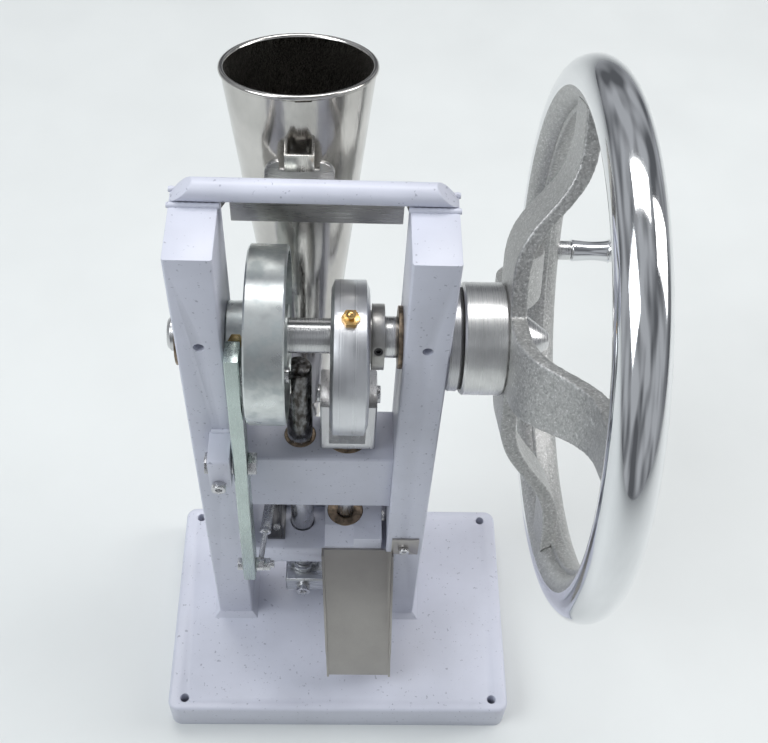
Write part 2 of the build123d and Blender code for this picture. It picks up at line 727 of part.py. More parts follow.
def shaft_keys():
    """Keys for the cam wheel, the eccentric and the wheel hub."""
    return (
        keyway(CAM_KEYWAY_LEFT, CAM_RIGHT, KEY_FLOOR, KEY_TOP),
        keyway(STRAP_LEFT, CAM_KEYWAY_RIGHT, KEY_FLOOR, KEY_TOP),
        keyway(HUB_LEFT + HUB_KEYWAY_INSET, CAST_RIGHT - HUB_KEYWAY_INSET, KEY_FLOOR, KEY_TOP),
    )


def cam_track(x_low, x_high, cam_r, lobe_angle):
    """The ring-shaped track between the wheel's rim and the inner cam."""
    shift_y = CAM_LOBE * cos(radians(lobe_angle))
    shift_z = CAM_LOBE * sin(radians(lobe_angle))
    track = rod_x(TRACK_R, x_low, x_high, MACHINE_Y, SHAFT_Z)
    return track - rod_x(cam_r, x_low, x_high, MACHINE_Y + shift_y, SHAFT_Z + shift_z)


def cam_wheel():
    """The wheel with a cam track in each face and a hub against the left column."""
    wheel = rod_x(CAM_R, CAM_LEFT, CAM_RIGHT, MACHINE_Y, SHAFT_Z)
    wheel = chamfer(wheel.edges().filter_by(GeomType.CIRCLE), CAM_EDGE)
    wheel += rod_x(CAM_HUB_R, CAM_HUB_LEFT, CAM_LEFT, MACHINE_Y, SHAFT_Z)
    wheel -= cam_track(CAM_LEFT, CAM_LEFT + TRACK_DEPTH, LEVER_CAM_R, 180)
    wheel -= cam_track(CAM_RIGHT - TRACK_DEPTH, CAM_RIGHT, LIFT_CAM_R, 270)
    wheel -= rod_x(SHAFT_R, CAM_HUB_LEFT, CAM_RIGHT, MACHINE_Y, SHAFT_Z)
    wheel -= keyway(CAM_HUB_LEFT, CAM_RIGHT, SHAFT_Z, KEY_TOP)
    seat = radial(CAM_BOLT_ANGLE, CAM_HUB_R - CAM_BOLT_SEAT, cam_bolt_x())
    wheel -= seat * Pos(0, 0, CAM_BOLT_SEAT) * Cylinder(CAM_BOLT_AF / 2 + 1, 2 * CAM_BOLT_SEAT)
    depth = CAM_HUB_R - CAM_BOLT_SEAT - SHAFT_R
    return wheel - seat * Pos(0, 0, -depth / 2) * Cylinder(CAM_BOLT_R, depth)


def cam_bolt_x():
    """Middle of the cam wheel's hub."""
    return (CAM_HUB_LEFT + CAM_LEFT) / 2


def cam_set_bolt():
    """The hexagon-head bolt that locks the cam wheel to the shaft."""
    seat = radial(CAM_BOLT_ANGLE, CAM_HUB_R - CAM_BOLT_SEAT, cam_bolt_x())
    depth = CAM_HUB_R - CAM_BOLT_SEAT - SHAFT_R
    bolt = extrude(hexagon(CAM_BOLT_AF), CAM_BOLT_SEAT + CAM_BOLT_PROUD)
    bolt = seat * (bolt + Pos(0, 0, -depth / 2) * Cylinder(CAM_BOLT_R, depth))
    return bolt - rod_x(SHAFT_R, CAM_HUB_LEFT, CAM_LEFT, MACHINE_Y, SHAFT_Z)


def grub_hole(angle, radius, x):
    """The hole that a grub screw leaves in a collar, down to the shaft."""
    depth = radius - SHAFT_R
    hole = radial(angle, radius, x) * Pos(0, 0, -depth / 2) * Cylinder(GRUB_R, depth + 2)
    return hole - rod_x(SHAFT_R, x - GRUB_R - 1, x + GRUB_R + 1, MACHINE_Y, SHAFT_Z)


def eccentric_disc():
    """The eccentric with the collar that clamps it to the shaft."""
    disc = rod_x(ECCENTRIC_R, STRAP_LEFT, STRAP_RIGHT, ECC_Y, ECC_Z)
    disc += rod_x(COLLAR_NECK_R, STRAP_RIGHT, COLLAR_LEFT, MACHINE_Y, SHAFT_Z)
    disc += rod_x(COLLAR_R, COLLAR_LEFT, COLLAR_RIGHT, MACHINE_Y, SHAFT_Z)
    disc -= rod_x(SHAFT_R, STRAP_LEFT, COLLAR_RIGHT, MACHINE_Y, SHAFT_Z)
    disc -= keyway(STRAP_LEFT, CAM_KEYWAY_RIGHT, SHAFT_Z, KEY_TOP)
    return disc - grub_hole(COLLAR_GRUB_ANGLE, COLLAR_R, (COLLAR_LEFT + COLLAR_RIGHT) / 2)


def shaft_spacer():
    """The small collar between the eccentric and the right bearing."""
    spacer = ring(SPACER_R, SHAFT_R, SPACER_LEFT, SPACER_RIGHT)
    depth = SPACER_R - SHAFT_R
    middle = (SPACER_LEFT + SPACER_RIGHT) / 2
    hole = Pos(0, 0, -depth / 2) * Cylinder(SPACER_HOLE_R, depth)
    return spacer - radial(SPACER_HOLE_ANGLE, SPACER_R, middle) * hole


def shaft_grub(angle, radius, x):
    """A grub screw against the shaft, sunk a little in its hole."""
    screw = radial(angle, radius - GRUB_SUNK, x) * grub_screw(radius - GRUB_SUNK - SHAFT_R + 1)
    return screw - rod_x(SHAFT_R, x - GRUB_R - 1, x + GRUB_R + 1, MACHINE_Y, SHAFT_Z)


def hub_grub_x():
    """The wheel hub's screw stands towards its left end."""
    return HUB_LEFT + WHEEL_HUB_WIDTH / 3


def wheel_hub():
    """The machined hub that carries the handwheel."""
    hub = ring(WHEEL_HUB_R, SHAFT_R, HUB_LEFT, HUB_RIGHT, HUB_EDGE)
    hub -= keyway(HUB_LEFT, HUB_RIGHT, SHAFT_Z, KEY_TOP)
    return hub - grub_hole(HUB_GRUB_ANGLE, WHEEL_HUB_R, hub_grub_x())


def finger_ring():
    """The wavy web inside the rim that the fingers hold."""
    step = 360 / FINGER_WAVES
    arcs = []
    for wave in range(FINGER_WAVES):
        for half, swing in ((0, FINGER_DEPTH), (0.5, -FINGER_DEPTH)):
            start = radians((wave + half) * step)
            middle = radians((wave + half + 0.25) * step)
            end = radians((wave + half + 0.5) * step)
            peak = FINGER_R + swing
            arcs.append(
                ThreePointArc(
                    (FINGER_R * cos(start), FINGER_R * sin(start)),
                    (peak * cos(middle), peak * sin(middle)),
                    (FINGER_R * cos(end), FINGER_R * sin(end)),
                )
            )
    inner = make_face(Wire(arcs))
    web = extrude(Circle(WHEEL_RIM_R) - inner, FINGER_RIGHT - FINGER_LEFT)
    return Pos(FINGER_LEFT, MACHINE_Y, SHAFT_Z) * Rot(0, 90, 0) * web


def handwheel_rim():
    """The round rim tube with the finger web inside it."""
    tube = Pos(WHEEL_RIM_X, MACHINE_Y, SHAFT_Z) * Rot(0, 90, 0) * Torus(WHEEL_RIM_R, WHEEL_TUBE_R)
    rim = tube + finger_ring()
    y, z = handle_place()
    return rim - rod_x(HANDLE_STUD_R, handle_seat() - HANDLE_STUD_DEPTH, handle_seat() + 1, y, z)


def spoke_side():
    """The S-shaped edge view of a spoke, in radius and height above the hub's left face."""
    half = SPOKE_THICK / 2
    low = SPOKE_ROOT_X - half
    high = SPOKE_TIP_X - half
    reach = WHEEL_RIM_R - WHEEL_TUBE_R + 6
    middle = (SPOKE_BEND_START + SPOKE_BEND_END) / 2
    under = Bezier((SPOKE_BEND_START, low), (middle, low), (middle, high), (SPOKE_BEND_END, high))
    over = Bezier(
        (SPOKE_BEND_END, high + SPOKE_THICK),
        (middle, high + SPOKE_THICK),
        (middle, low + SPOKE_THICK),
        (SPOKE_BEND_START, low + SPOKE_THICK),
    )
    outline = Wire(
        [
            Line((SHAFT_R + 2, low), (SPOKE_BEND_START, low)),
            under,
            Line((SPOKE_BEND_END, high), (reach, high)),
            Line((reach, high), (reach, high + SPOKE_THICK)),
            Line((reach, high + SPOKE_THICK), (SPOKE_BEND_END, high + SPOKE_THICK)),
            over,
            Line((SPOKE_BEND_START, low + SPOKE_THICK), (SHAFT_R + 2, low + SPOKE_THICK)),
            Line((SHAFT_R + 2, low + SPOKE_THICK), (SHAFT_R + 2, low)),
        ]
    )
    return make_face(outline)


def spoke():
    """One spoke along local X with the wheel's axis as local Z."""
    side = extrude(Plane.XZ * spoke_side(), WHEEL_HUB_R, both=True)
    reach = WHEEL_RIM_R
    root = SPOKE_ROOT_WIDTH / 2
    middle = SPOKE_MID_WIDTH / 2
    tip = SPOKE_TIP_WIDTH / 2
    waist = reach * SPOKE_WAIST_SHARE
    upper = Spline((SHAFT_R, root), (SPOKE_BEND_START, root - 2), (waist, middle - 1), (reach, tip))
    lower = Spline((reach, -tip), (waist, 1 - middle), (SPOKE_BEND_START, 2 - root), (SHAFT_R, -root))
    ends = [Line((reach, tip), (reach, -tip)), Line((SHAFT_R, -root), (SHAFT_R, root))]
    outline = Wire([upper, ends[0], lower, ends[1]])
    plan = extrude(make_face(outline), SPOKE_TIP_X + SPOKE_THICK)
    return side & plan


def handwheel_spider(rim):
    """The cast hub and its four dished spokes."""
    hub = shaft_turned(
        [
            (WHEEL_HUB_R, HUB_RIGHT),
            (WHEEL_HUB_R, HUB_RIGHT + SPOKE_THICK / 2),
            (CAST_HUB_FRONT_R, CAST_RIGHT),
        ]
    )
    arm = spoke()
    spider = hub
    for index in range(SPOKES):
        turn = SPOKE_ANGLE + index * 360 / SPOKES
        spider += Pos(0, MACHINE_Y, SHAFT_Z) * Rot(turn, 0, 0) * Plane.YZ.location * arm
    spider -= rod_x(SHAFT_R, HUB_RIGHT, SPOKE_TIP_X, MACHINE_Y, SHAFT_Z)
    spider -= keyway(HUB_RIGHT, CAST_RIGHT - HUB_KEYWAY_INSET, SHAFT_Z, KEY_TOP)
    return spider - rim


def cone_nut():
    """The turned nut that holds the wheel on the shaft."""
    nut = shaft_turned([(CONE_NUT_R, CAST_RIGHT), (CONE_NUT_TIP_R, CAST_RIGHT + CONE_NUT_LENGTH)])
    end = CAST_RIGHT + SHAFT_STUD_LENGTH
    return nut - rod_x(SHAFT_STUD_R, CAST_RIGHT, end, MACHINE_Y, SHAFT_Z)


def handle_place():
    """Y and Z of the crank handle's axis."""
    turn = radians(HANDLE_ANGLE)
    return MACHINE_Y + WHEEL_RIM_R * cos(turn), SHAFT_Z + WHEEL_RIM_R * sin(turn)


def handle_seat():
    """The outer face of the rim, where the handle's collar stands."""
    return WHEEL_RIM_X + WHEEL_TUBE_R


def handle_spindle(rim):
    """The stud in the rim with its collar and the spindle for the grip."""
    y, z = handle_place()
    seat = handle_seat()
    grip_start = seat + HANDLE_COLLAR + SIDE_GAP
    collar = rod_x(HANDLE_COLLAR_R, seat - HANDLE_COLLAR_SUNK, seat + HANDLE_COLLAR, y, z) - rim
    stud = rod_x(HANDLE_STUD_R, seat - HANDLE_STUD_DEPTH, grip_start + GRIP_BORE_DEPTH - 1, y, z)
    return collar + stud


def handle_grip():
    """The waisted grip that turns on the spindle."""
    y, z = handle_place()
    start = handle_seat() + HANDLE_COLLAR + SIDE_GAP
    length = GRIP_LENGTH
    profile = Wire(
        [
            Line((0, 0), (GRIP_END_R - 1, 0)),
            Line((GRIP_END_R - 1, 0), (GRIP_END_R, 1)),
            Spline(
                (GRIP_END_R, 1),
                (GRIP_WAIST_R, 0.24 * length),
                (GRIP_RING_R - 0.9, 0.4 * length),
                tangents=((-0.3, 1), (0.35, 1)),
            ),
            ThreePointArc(
                (GRIP_RING_R - 0.9, 0.4 * length),
                (GRIP_RING_R, 0.42 * length),
                (GRIP_RING_R - 0.9, 0.44 * length),
            ),
            Spline(
                (GRIP_RING_R - 0.9, 0.44 * length),
                (GRIP_SWELL_R, 0.74 * length),
                (GRIP_SWELL_R - 1.6, 0.93 * length),
                (GRIP_TIP_R, length),
                tangents=((0.3, 1), (-1, 0.1)),
            ),
            Line((GRIP_TIP_R, length), (0, length)),
            Line((0, length), (0, 0)),
        ]
    )
    grip = revolve(Plane.XZ * make_face(profile), Axis.Z)
    grip = Pos(start, y, z) * Rot(0, 90, 0) * grip
    return grip - rod_x(HANDLE_STUD_R + RUN_FIT, start, start + GRIP_BORE_DEPTH, y, z)


def eccentric_strap():
    """The strap round the eccentric, with the lug that drives the ram."""
    bevel_r = STRAP_R - STRAP_BEVEL_R
    ring_part = shaft_turned(
        [
            (bevel_r, STRAP_LEFT),
            (STRAP_R, STRAP_LEFT + STRAP_BEVEL_X),
            (STRAP_R, STRAP_RIGHT - STRAP_BEVEL_X),
            (bevel_r, STRAP_RIGHT),
        ],
        ECC_Y,
        ECC_Z,
    )
    low = STRAP_LEFT + STRAP_BEVEL_X
    width = STRAP_WIDTH - 2 * STRAP_BEVEL_X
    root = bevel_r - 2
    arm = Polyline(
        (-STRAP_LUG_R, -STRAP_PIN_REACH),
        (STRAP_LUG_R, -STRAP_PIN_REACH),
        (STRAP_LUG_ROOT, -root),
        (-STRAP_LUG_ROOT, -root),
        close=True,
    )
    outline = make_face(arm) + Pos(0, -STRAP_PIN_REACH) * Circle(STRAP_LUG_R)
    outline -= Pos(0, -STRAP_PIN_REACH) * Circle(STRAP_PIN_HOLE_R)
    lean = degrees(atan2(MACHINE_Y - ECC_Y, LUG_DROP))
    lug = extrude(Plane.YZ.offset(low) * Pos(ECC_Y, ECC_Z) * Rot(0, 0, lean) * outline, width)
    strap = ring_part + lug
    strap -= rod_x(ECCENTRIC_R + RUN_FIT, STRAP_LEFT, STRAP_RIGHT, ECC_Y, ECC_Z)
    hole = radial(NIPPLE_ANGLE, STRAP_R, strap_middle(), ECC_Y, ECC_Z)
    depth = STRAP_R - ECCENTRIC_R
    return strap - hole * Pos(0, 0, -depth / 2) * Cylinder(NIPPLE_STEM_R, depth)


def strap_middle():
    """The middle of the strap's width."""
    return STRAP_LEFT + STRAP_WIDTH / 2


def grease_nipple():
    """The ball-ended nipple on the strap's rim."""
    seat = radial(NIPPLE_ANGLE, STRAP_R, strap_middle(), ECC_Y, ECC_Z)
    body = extrude(hexagon(NIPPLE_AF), NIPPLE_HEX_HEIGHT)
    neck = NIPPLE_HEIGHT - NIPPLE_BALL_R - NIPPLE_HEX_HEIGHT
    body += Pos(0, 0, NIPPLE_HEX_HEIGHT + neck / 2) * Cylinder(NIPPLE_BALL_R * 0.7, neck)
    body += Pos(0, 0, NIPPLE_HEIGHT - NIPPLE_BALL_R) * Sphere(NIPPLE_BALL_R)
    body += Pos(0, 0, -NIPPLE_STEM / 2) * Cylinder(NIPPLE_STEM_R, NIPPLE_STEM)
    below = extrude(hexagon(NIPPLE_AF), -NIPPLE_HEX_HEIGHT)
    below -= Pos(0, 0, -NIPPLE_HEX_HEIGHT / 2) * Cylinder(NIPPLE_STEM_R, NIPPLE_HEX_HEIGHT)
    rim = rod_x(STRAP_R, STRAP_LEFT, STRAP_RIGHT, ECC_Y, ECC_Z)
    return seat * body + (seat * below - rim)


def ram():
    """The ram: a round stem with a fork on top for the strap's lug."""
    fork = block(
        FORK_LEFT,
        FORK_RIGHT,
        MACHINE_Y - FORK_DEPTH / 2,
        MACHINE_Y + FORK_DEPTH / 2,
        FORK_BOTTOM,
        FORK_TOP,
    )
    fork = chamfer(fork.edges().filter_by(Axis.Z), FORK_EDGE)
    fork -= block(
        EAR_INNER_LEFT,
        EAR_INNER_RIGHT,
        MACHINE_Y - FORK_DEPTH / 2,
        MACHINE_Y + FORK_DEPTH / 2,
        FORK_FLOOR,
        FORK_TOP,
    )
    stem = rod_z(RAM_R, RAM_BOTTOM, FORK_BOTTOM, PRESS_X, MACHINE_Y)
    stem = chamfer(stem.edges().group_by(Axis.Z)[0], RAM_CHAMFER)
    body = fork + stem
    body -= rod_z(PUNCH_R, RAM_BOTTOM, RAM_BOTTOM + PUNCH_SOCKET, PRESS_X, MACHINE_Y)
    for low, high in ((FORK_LEFT, EAR_INNER_LEFT), (EAR_INNER_RIGHT, FORK_RIGHT)):
        body -= rod_x(FORK_SCREW_R, low, high, MACHINE_Y, FORK_SCREW_Z)
    return body - punch_screw_space()


def punch_screw_space():
    """The punch screw's hole in the front of the stem."""
    z = RAM_BOTTOM + PUNCH_SCREW_RISE
    return rod_y(GRUB_R, MACHINE_Y - RAM_R, MACHINE_Y, PRESS_X, z) - rod_z(
        PUNCH_R, RAM_BOTTOM, RAM_BOTTOM + PUNCH_SOCKET, PRESS_X, MACHINE_Y
    )


def punch_screw():
    """The grub screw that holds the upper punch."""
    z = RAM_BOTTOM + PUNCH_SCREW_RISE
    start = MACHINE_Y - RAM_R + GRUB_SUNK
    screw = rod_y(GRUB_R, start, MACHINE_Y, PRESS_X, z)
    return screw - rod_z(PUNCH_R, RAM_BOTTOM, RAM_BOTTOM + PUNCH_SOCKET, PRESS_X, MACHINE_Y)


def fork_screws():
    """The two stub screws in the fork's ears, short of the strap's lug."""
    left = rod_x(FORK_SCREW_R, FORK_LEFT, EAR_INNER_LEFT, MACHINE_Y, FORK_SCREW_Z)
    left += rod_x(FORK_SCREW_HEAD_R, FORK_LEFT - FORK_SCREW_HEAD, FORK_LEFT, MACHINE_Y, FORK_SCREW_Z)
    right = rod_x(FORK_SCREW_R, EAR_INNER_RIGHT, FORK_RIGHT, MACHINE_Y, FORK_SCREW_Z)
    right += rod_x(FORK_SCREW_HEAD_R, FORK_RIGHT, FORK_RIGHT + FORK_SCREW_HEAD, MACHINE_Y, FORK_SCREW_Z)
    return left, right


def upper_punch():
    """The punch in the ram's lower end."""
    top = RAM_BOTTOM + PUNCH_SOCKET
    punch = rod_z(PUNCH_R, PUNCH_TIP, top, PRESS_X, MACHINE_Y)
    return chamfer(punch.edges().group_by(Axis.Z)[0], PUNCH_EDGE)


def lift_rod():
    """The rod that carries the yoke, with a flat beside the cam wheel."""
    bottom = YOKE_BOTTOM - LIFT_ROD_TAIL
    rod = rod_z(LIFT_ROD_R, bottom, LIFT_ROD_TOP, LIFT_X, MACHINE_Y)
    rod = chamfer(rod.edges().filter_by(GeomType.CIRCLE), LIFT_ROD_EDGE)
    flat = CAM_RIGHT + LIFT_FLAT_GAP
    flat_bottom = SHAFT_Z - CAM_R - LIFT_STROKE_UP - LIFT_FLAT_DROP
    edge = LIFT_X - LIFT_ROD_R
    front = MACHINE_Y - LIFT_ROD_R
    back = MACHINE_Y + LIFT_ROD_R
    rod -= block(edge, flat, front, back, flat_bottom, LIFT_ROD_TOP)
    return rod - rod_x(ROLLER_PIN_R, flat, LIFT_X, MACHINE_Y, LIFT_ROLLER_Z)


def lift_roller_pin():
    """The pin in the lift rod that the roller turns on."""
    return rod_x(ROLLER_PIN_R, LIFT_ROLLER_LEFT, LIFT_X, MACHINE_Y, LIFT_ROLLER_Z)


def lift_roller():
    """The roller in the cam wheel's right-hand track."""
    roller = rod_x(LIFT_ROLLER_R, LIFT_ROLLER_LEFT, LIFT_ROLLER_RIGHT, MACHINE_Y, LIFT_ROLLER_Z)
    bore = rod_x(ROLLER_PIN_R + RUN_FIT, LIFT_ROLLER_LEFT, LIFT_ROLLER_RIGHT, MACHINE_Y, LIFT_ROLLER_Z)
    return roller - bore


def yoke():
    """The bar that ties the lift rod to the lower punch."""
    front = MACHINE_Y - YOKE_DEPTH / 2
    back = MACHINE_Y + YOKE_DEPTH / 2
    bar = block(YOKE_LEFT, YOKE_RIGHT, front, back, YOKE_BOTTOM, YOKE_TOP)
    bar = chamfer(bar.edges(), YOKE_EDGE)
    bar -= rod_z(LIFT_ROD_R, YOKE_BOTTOM, YOKE_TOP, LIFT_X, MACHINE_Y)
    bar -= rod_z(PUNCH_R, YOKE_BOTTOM, YOKE_TOP, PRESS_X, MACHINE_Y)
    for x, _ in yoke_screw_places():
        bar -= rod_y(YOKE_SCREW_R, front, front + YOKE_SCREW_LENGTH, x, yoke_middle())
    return bar


def yoke_middle():
    """The middle of the yoke's height."""
    return YOKE_BOTTOM + YOKE_THICK / 2


def yoke_screw_places():
    """The X of each clamp screw and the radius of the rod that it meets."""
    return ((LIFT_X, LIFT_ROD_R), (PRESS_X, PUNCH_R))


def yoke_screw(x, rod_r):
    """A clamp screw in the yoke's front face."""
    front = MACHINE_Y - YOKE_DEPTH / 2
    shank = min(YOKE_SCREW_LENGTH, MACHINE_Y - rod_r - front)
    screw = socket_screw(YOKE_SCREW_R, shank, YOKE_HEAD_R, YOKE_HEAD, YOKE_SOCKET_AF)
    return Pos(x, front, yoke_middle()) * Rot(90, 0, 0) * screw


def lift_nut(z_low):
    """A round nut with notches for a hook spanner."""
    nut = rod_z(LIFT_NUT_R, z_low, z_low + LIFT_NUT_THICK, LIFT_X, MACHINE_Y)
    for index in range(LIFT_NUT_NOTCHES):
        turn = radians(45 + index * 360 / LIFT_NUT_NOTCHES)
        x = LIFT_X + LIFT_NUT_R * cos(turn)
        y = MACHINE_Y + LIFT_NUT_R * sin(turn)
        nut -= rod_z(LIFT_NUT_NOTCH_R, z_low, z_low + LIFT_NUT_THICK, x, y)
    return nut - rod_z(LIFT_ROD_R, z_low, z_low + LIFT_NUT_THICK, LIFT_X, MACHINE_Y)


def lower_punch():
    """The punch that closes the die from below and lifts the tablet out."""
    punch = rod_z(PUNCH_R, YOKE_BOTTOM, LOWER_PUNCH_TIP, PRESS_X, MACHINE_Y)
    return chamfer(punch.edges().group_by(Axis.Z)[-1], PUNCH_EDGE)


def lever_frame():
    """The lever's own frame: its pivot, with Z along the leaning bar."""
    return Pos(0, PIVOT_Y, PIVOT_Z) * Rot(-LEVER_LEAN, 0, 0)


def feed_lever():
    """The flat bar that swings the shoe."""
    bar = block(LEVER_LEFT, LEVER_RIGHT, -LEVER_WIDTH / 2, LEVER_WIDTH / 2, -LEVER_DOWN, LEVER_UP)
    bar = chamfer(bar.edges().filter_by(Axis.Z), LEVER_EDGE)
    bar -= rod_x(PIVOT_R + RUN_FIT, LEVER_LEFT, LEVER_RIGHT, 0, 0)
    bar -= rod_x(LEVER_PIN_R, LEVER_LEFT, LEVER_RIGHT, 0, LEVER_ROLLER_REACH)
    bar -= rod_x(FOOT_BOLT_R, LEVER_LEFT, LEVER_RIGHT, 0, -FOOT_REACH)
    return lever_frame() * bar


def lever_roller_pin():
    """The pin riveted in the lever's top."""
    return lever_frame() * rod_x(LEVER_PIN_R, LEVER_LEFT, LEVER_ROLLER_RIGHT, 0, LEVER_ROLLER_REACH)


def lever_roller():
    """The roller in the cam wheel's left-hand track."""
    roller = rod_x(LEVER_ROLLER_R, LEVER_ROLLER_LEFT, LEVER_ROLLER_RIGHT, 0, LEVER_ROLLER_REACH)
    bore = rod_x(LEVER_PIN_R + RUN_FIT, LEVER_ROLLER_LEFT, LEVER_ROLLER_RIGHT, 0, LEVER_ROLLER_REACH)
    return lever_frame() * (roller - bore)


def foot_bolt():
    """The bolt at the lever's foot that the link hangs on, with its nut."""
    link_right = LINK_X + LINK_EYE_WIDTH / 2
    nut_left = link_right + SIDE_GAP
    tail = nut_left + FOOT_NUT + FOOT_BOLT_TAIL
    bolt = rod_x(FOOT_BOLT_R, LEVER_LEFT, tail, FOOT_Y, FOOT_Z)
    bolt += hex_x(FOOT_HEAD_AF, LEVER_LEFT - FOOT_HEAD, LEVER_LEFT, FOOT_Y, FOOT_Z)
    nut = hex_x(FOOT_HEAD_AF, nut_left, nut_left + FOOT_NUT, FOOT_Y, FOOT_Z)
    return bolt, nut - rod_x(FOOT_BOLT_R, nut_left, nut_left + FOOT_NUT, FOOT_Y, FOOT_Z)


def lever_bracket():
    """The block on the left column that carries the lever's pivot."""
    right = LEFT_INNER
    bracket = block(
        right - BRACKET_WIDTH,
        right,
        COLUMN_FRONT - BRACKET_DEPTH,
        COLUMN_FRONT,
        BRACKET_BOTTOM,
        BRACKET_BOTTOM + BRACKET_HEIGHT,
    )
    bracket = chamfer(bracket.edges().filter_by(Axis.X), BRACKET_EDGE)
    bracket -= rod_x(PIVOT_R, right - BRACKET_WIDTH, right, PIVOT_Y, PIVOT_Z)
    front = COLUMN_FRONT - BRACKET_DEPTH
    return bracket - rod_y(SMALL_SCREW_R, front, COLUMN_FRONT, BRACKET_SCREW_X, BRACKET_SCREW_Z)


def bracket_screw():
    """The socket screw through the lever bracket."""
    shank = BRACKET_DEPTH + SCREW_BITE
    screw = socket_screw(SMALL_SCREW_R, shank, SMALL_HEAD_R, SMALL_HEAD, SMALL_SOCKET_AF)
    front = COLUMN_FRONT - BRACKET_DEPTH
    return Pos(BRACKET_SCREW_X, front, BRACKET_SCREW_Z) * Rot(90, 0, 0) * screw


def lever_pivot():
    """The lever's pivot bolt, with a shoulder beside the bracket."""
    head_right = LEFT_INNER - BRACKET_WIDTH
    tail = LEVER_RIGHT + SIDE_GAP + PIVOT_NUT
    bolt = hex_x(PIVOT_HEAD_AF, head_right - PIVOT_HEAD, head_right, PIVOT_Y, PIVOT_Z)
    bolt += rod_x(PIVOT_R, head_right, tail, PIVOT_Y, PIVOT_Z)
    return bolt + rod_x(PIVOT_SHOULDER_R, LEFT_INNER, LEVER_LEFT - SIDE_GAP, PIVOT_Y, PIVOT_Z)


def lever_pivot_nut():
    """The nut on the lever's pivot bolt."""
    low = LEVER_RIGHT + SIDE_GAP
    nut = hex_x(PIVOT_HEAD_AF, low, low + PIVOT_NUT, PIVOT_Y, PIVOT_Z)
    return nut - rod_x(PIVOT_R, low, low + PIVOT_NUT, PIVOT_Y, PIVOT_Z)


def shoe_plane(angle, z):
    """The shoe's pivot at a height, with local X along a direction seen from above."""
    return Pos(SHOE_X, SHOE_Y, z) * Rot(0, 0, angle)


def arm_outline(root_r, tip_r, reach):
    """A tapering arm between two circles, along local X."""
    lean = (root_r - tip_r) / reach
    rise = sqrt(1 - lean**2)
    sides = Polyline(
        (root_r * lean, root_r * rise),
        (reach + tip_r * lean, tip_r * rise),
        (reach + tip_r * lean, -tip_r * rise),
        (root_r * lean, -root_r * rise),
        close=True,
    )
    return make_face(sides) + Circle(root_r) + Pos(reach, 0) * Circle(tip_r)


def feed_shoe():
    """The swinging shoe: a cup under the spout, a covered channel and an open mouth."""
    cup_height = CUP_TOP - SHOE_BOTTOM
    nose = extrude(arm_outline(CUP_R, MOUTH_R, MOUTH_REACH), SHOE_THICK)
    nose += Pos(0, 0, cup_height / 2) * Cylinder(CUP_R, cup_height)
    cavity = extrude(
        arm_outline(CHANNEL_R, MOUTH_CAVITY_R, MOUTH_REACH - CHANNEL_START),
        SHOE_THICK - SHOE_ROOF,
    )
    nose -= Pos(CHANNEL_START, 0, 0) * cavity
    hollow = cup_height - SHOE_THICK
    nose -= Pos(0, 0, SHOE_THICK + hollow / 2) * Cylinder(CUP_R - CUP_WALL, hollow)
    nose -= Pos(DROP_HOLE_REACH, 0, SHOE_THICK / 2) * Cylinder(DROP_HOLE_R, SHOE_THICK)
    shoe = shoe_plane(MOUTH_ANGLE, SHOE_BOTTOM) * nose
    tail = extrude(arm_outline(TAIL_ROOT_R, TAIL_R, TAIL_REACH), SHOE_THICK - 0.5)
    shoe += shoe_plane(TAIL_ANGLE, SHOE_BOTTOM) * tail
    shoe -= rod_z(SHOE_PIN_R + RUN_FIT, SHOE_BOTTOM, SHOE_PIN_TOP + 0.4, SHOE_X, SHOE_Y)
    tail_x, tail_y = tail_place()
    return shoe - rod_z(TAIL_PIN_R, SHOE_BOTTOM, SHOE_TOP, tail_x, tail_y)


def tail_place():
    """X and Y of the shoe's tail pin at rest."""
    turn = radians(TAIL_ANGLE)
    return SHOE_X + TAIL_REACH * cos(turn), SHOE_Y + TAIL_REACH * sin(turn)


def shoe_tail_pin():
    """The pin that the link's rear eye turns about."""
    x, y = tail_place()
    return rod_z(TAIL_PIN_R, SHOE_BOTTOM, TAIL_PIN_TOP, x, y)


def shoe_pivot_pin():
    """The upright pin in the die block, with its head below."""
    pin = rod_z(SHOE_PIN_R, TABLE_TOP, SHOE_PIN_TOP, SHOE_X, SHOE_Y)
    return pin + rod_z(SHOE_PIN_HEAD_R, TABLE_TOP - SHOE_PIN_HEAD, TABLE_TOP, SHOE_X, SHOE_Y)


def link_ends():
    """The link's front and rear points."""
    tail_x, tail_y = tail_place()
    rear_z = SHOE_TOP + TAIL_EYE_LIFT + TAIL_EYE_THICK / 2
    return Vector(LINK_X, FOOT_Y, FOOT_Z), Vector(tail_x, tail_y, rear_z)


def link_rod():
    """The rod with an eye at each end and an adjusting sleeve."""
    front, rear = link_ends()
    along = (rear - front).normalized()
    length = (rear - front).length
    path = Plane(origin=front, z_dir=along)
    thin = LINK_SLEEVE_START
    body = path * Pos(0, 0, thin / 2) * Cylinder(LINK_ROD_R, thin)
    sleeve = length - TAIL_EYE_R + 1 - thin
    body += path * Pos(0, 0, thin + sleeve / 2) * Cylinder(LINK_SLEEVE_R, sleeve)
    half = LINK_EYE_WIDTH / 2
    body += rod_x(LINK_EYE_R, LINK_X - half, LINK_X + half, FOOT_Y, FOOT_Z)
    low = SHOE_TOP + TAIL_EYE_LIFT
    body += rod_z(TAIL_EYE_R, low, low + TAIL_EYE_THICK, rear.X, rear.Y)
    body -= rod_x(FOOT_BOLT_R + RUN_FIT, LINK_X - LINK_EYE_WIDTH, LINK_X + LINK_EYE_WIDTH, FOOT_Y, FOOT_Z)
    reach = LINK_SLEEVE_R
    return body - rod_z(TAIL_EYE_HOLE_R, low - reach, low + TAIL_EYE_THICK + reach, rear.X, rear.Y)


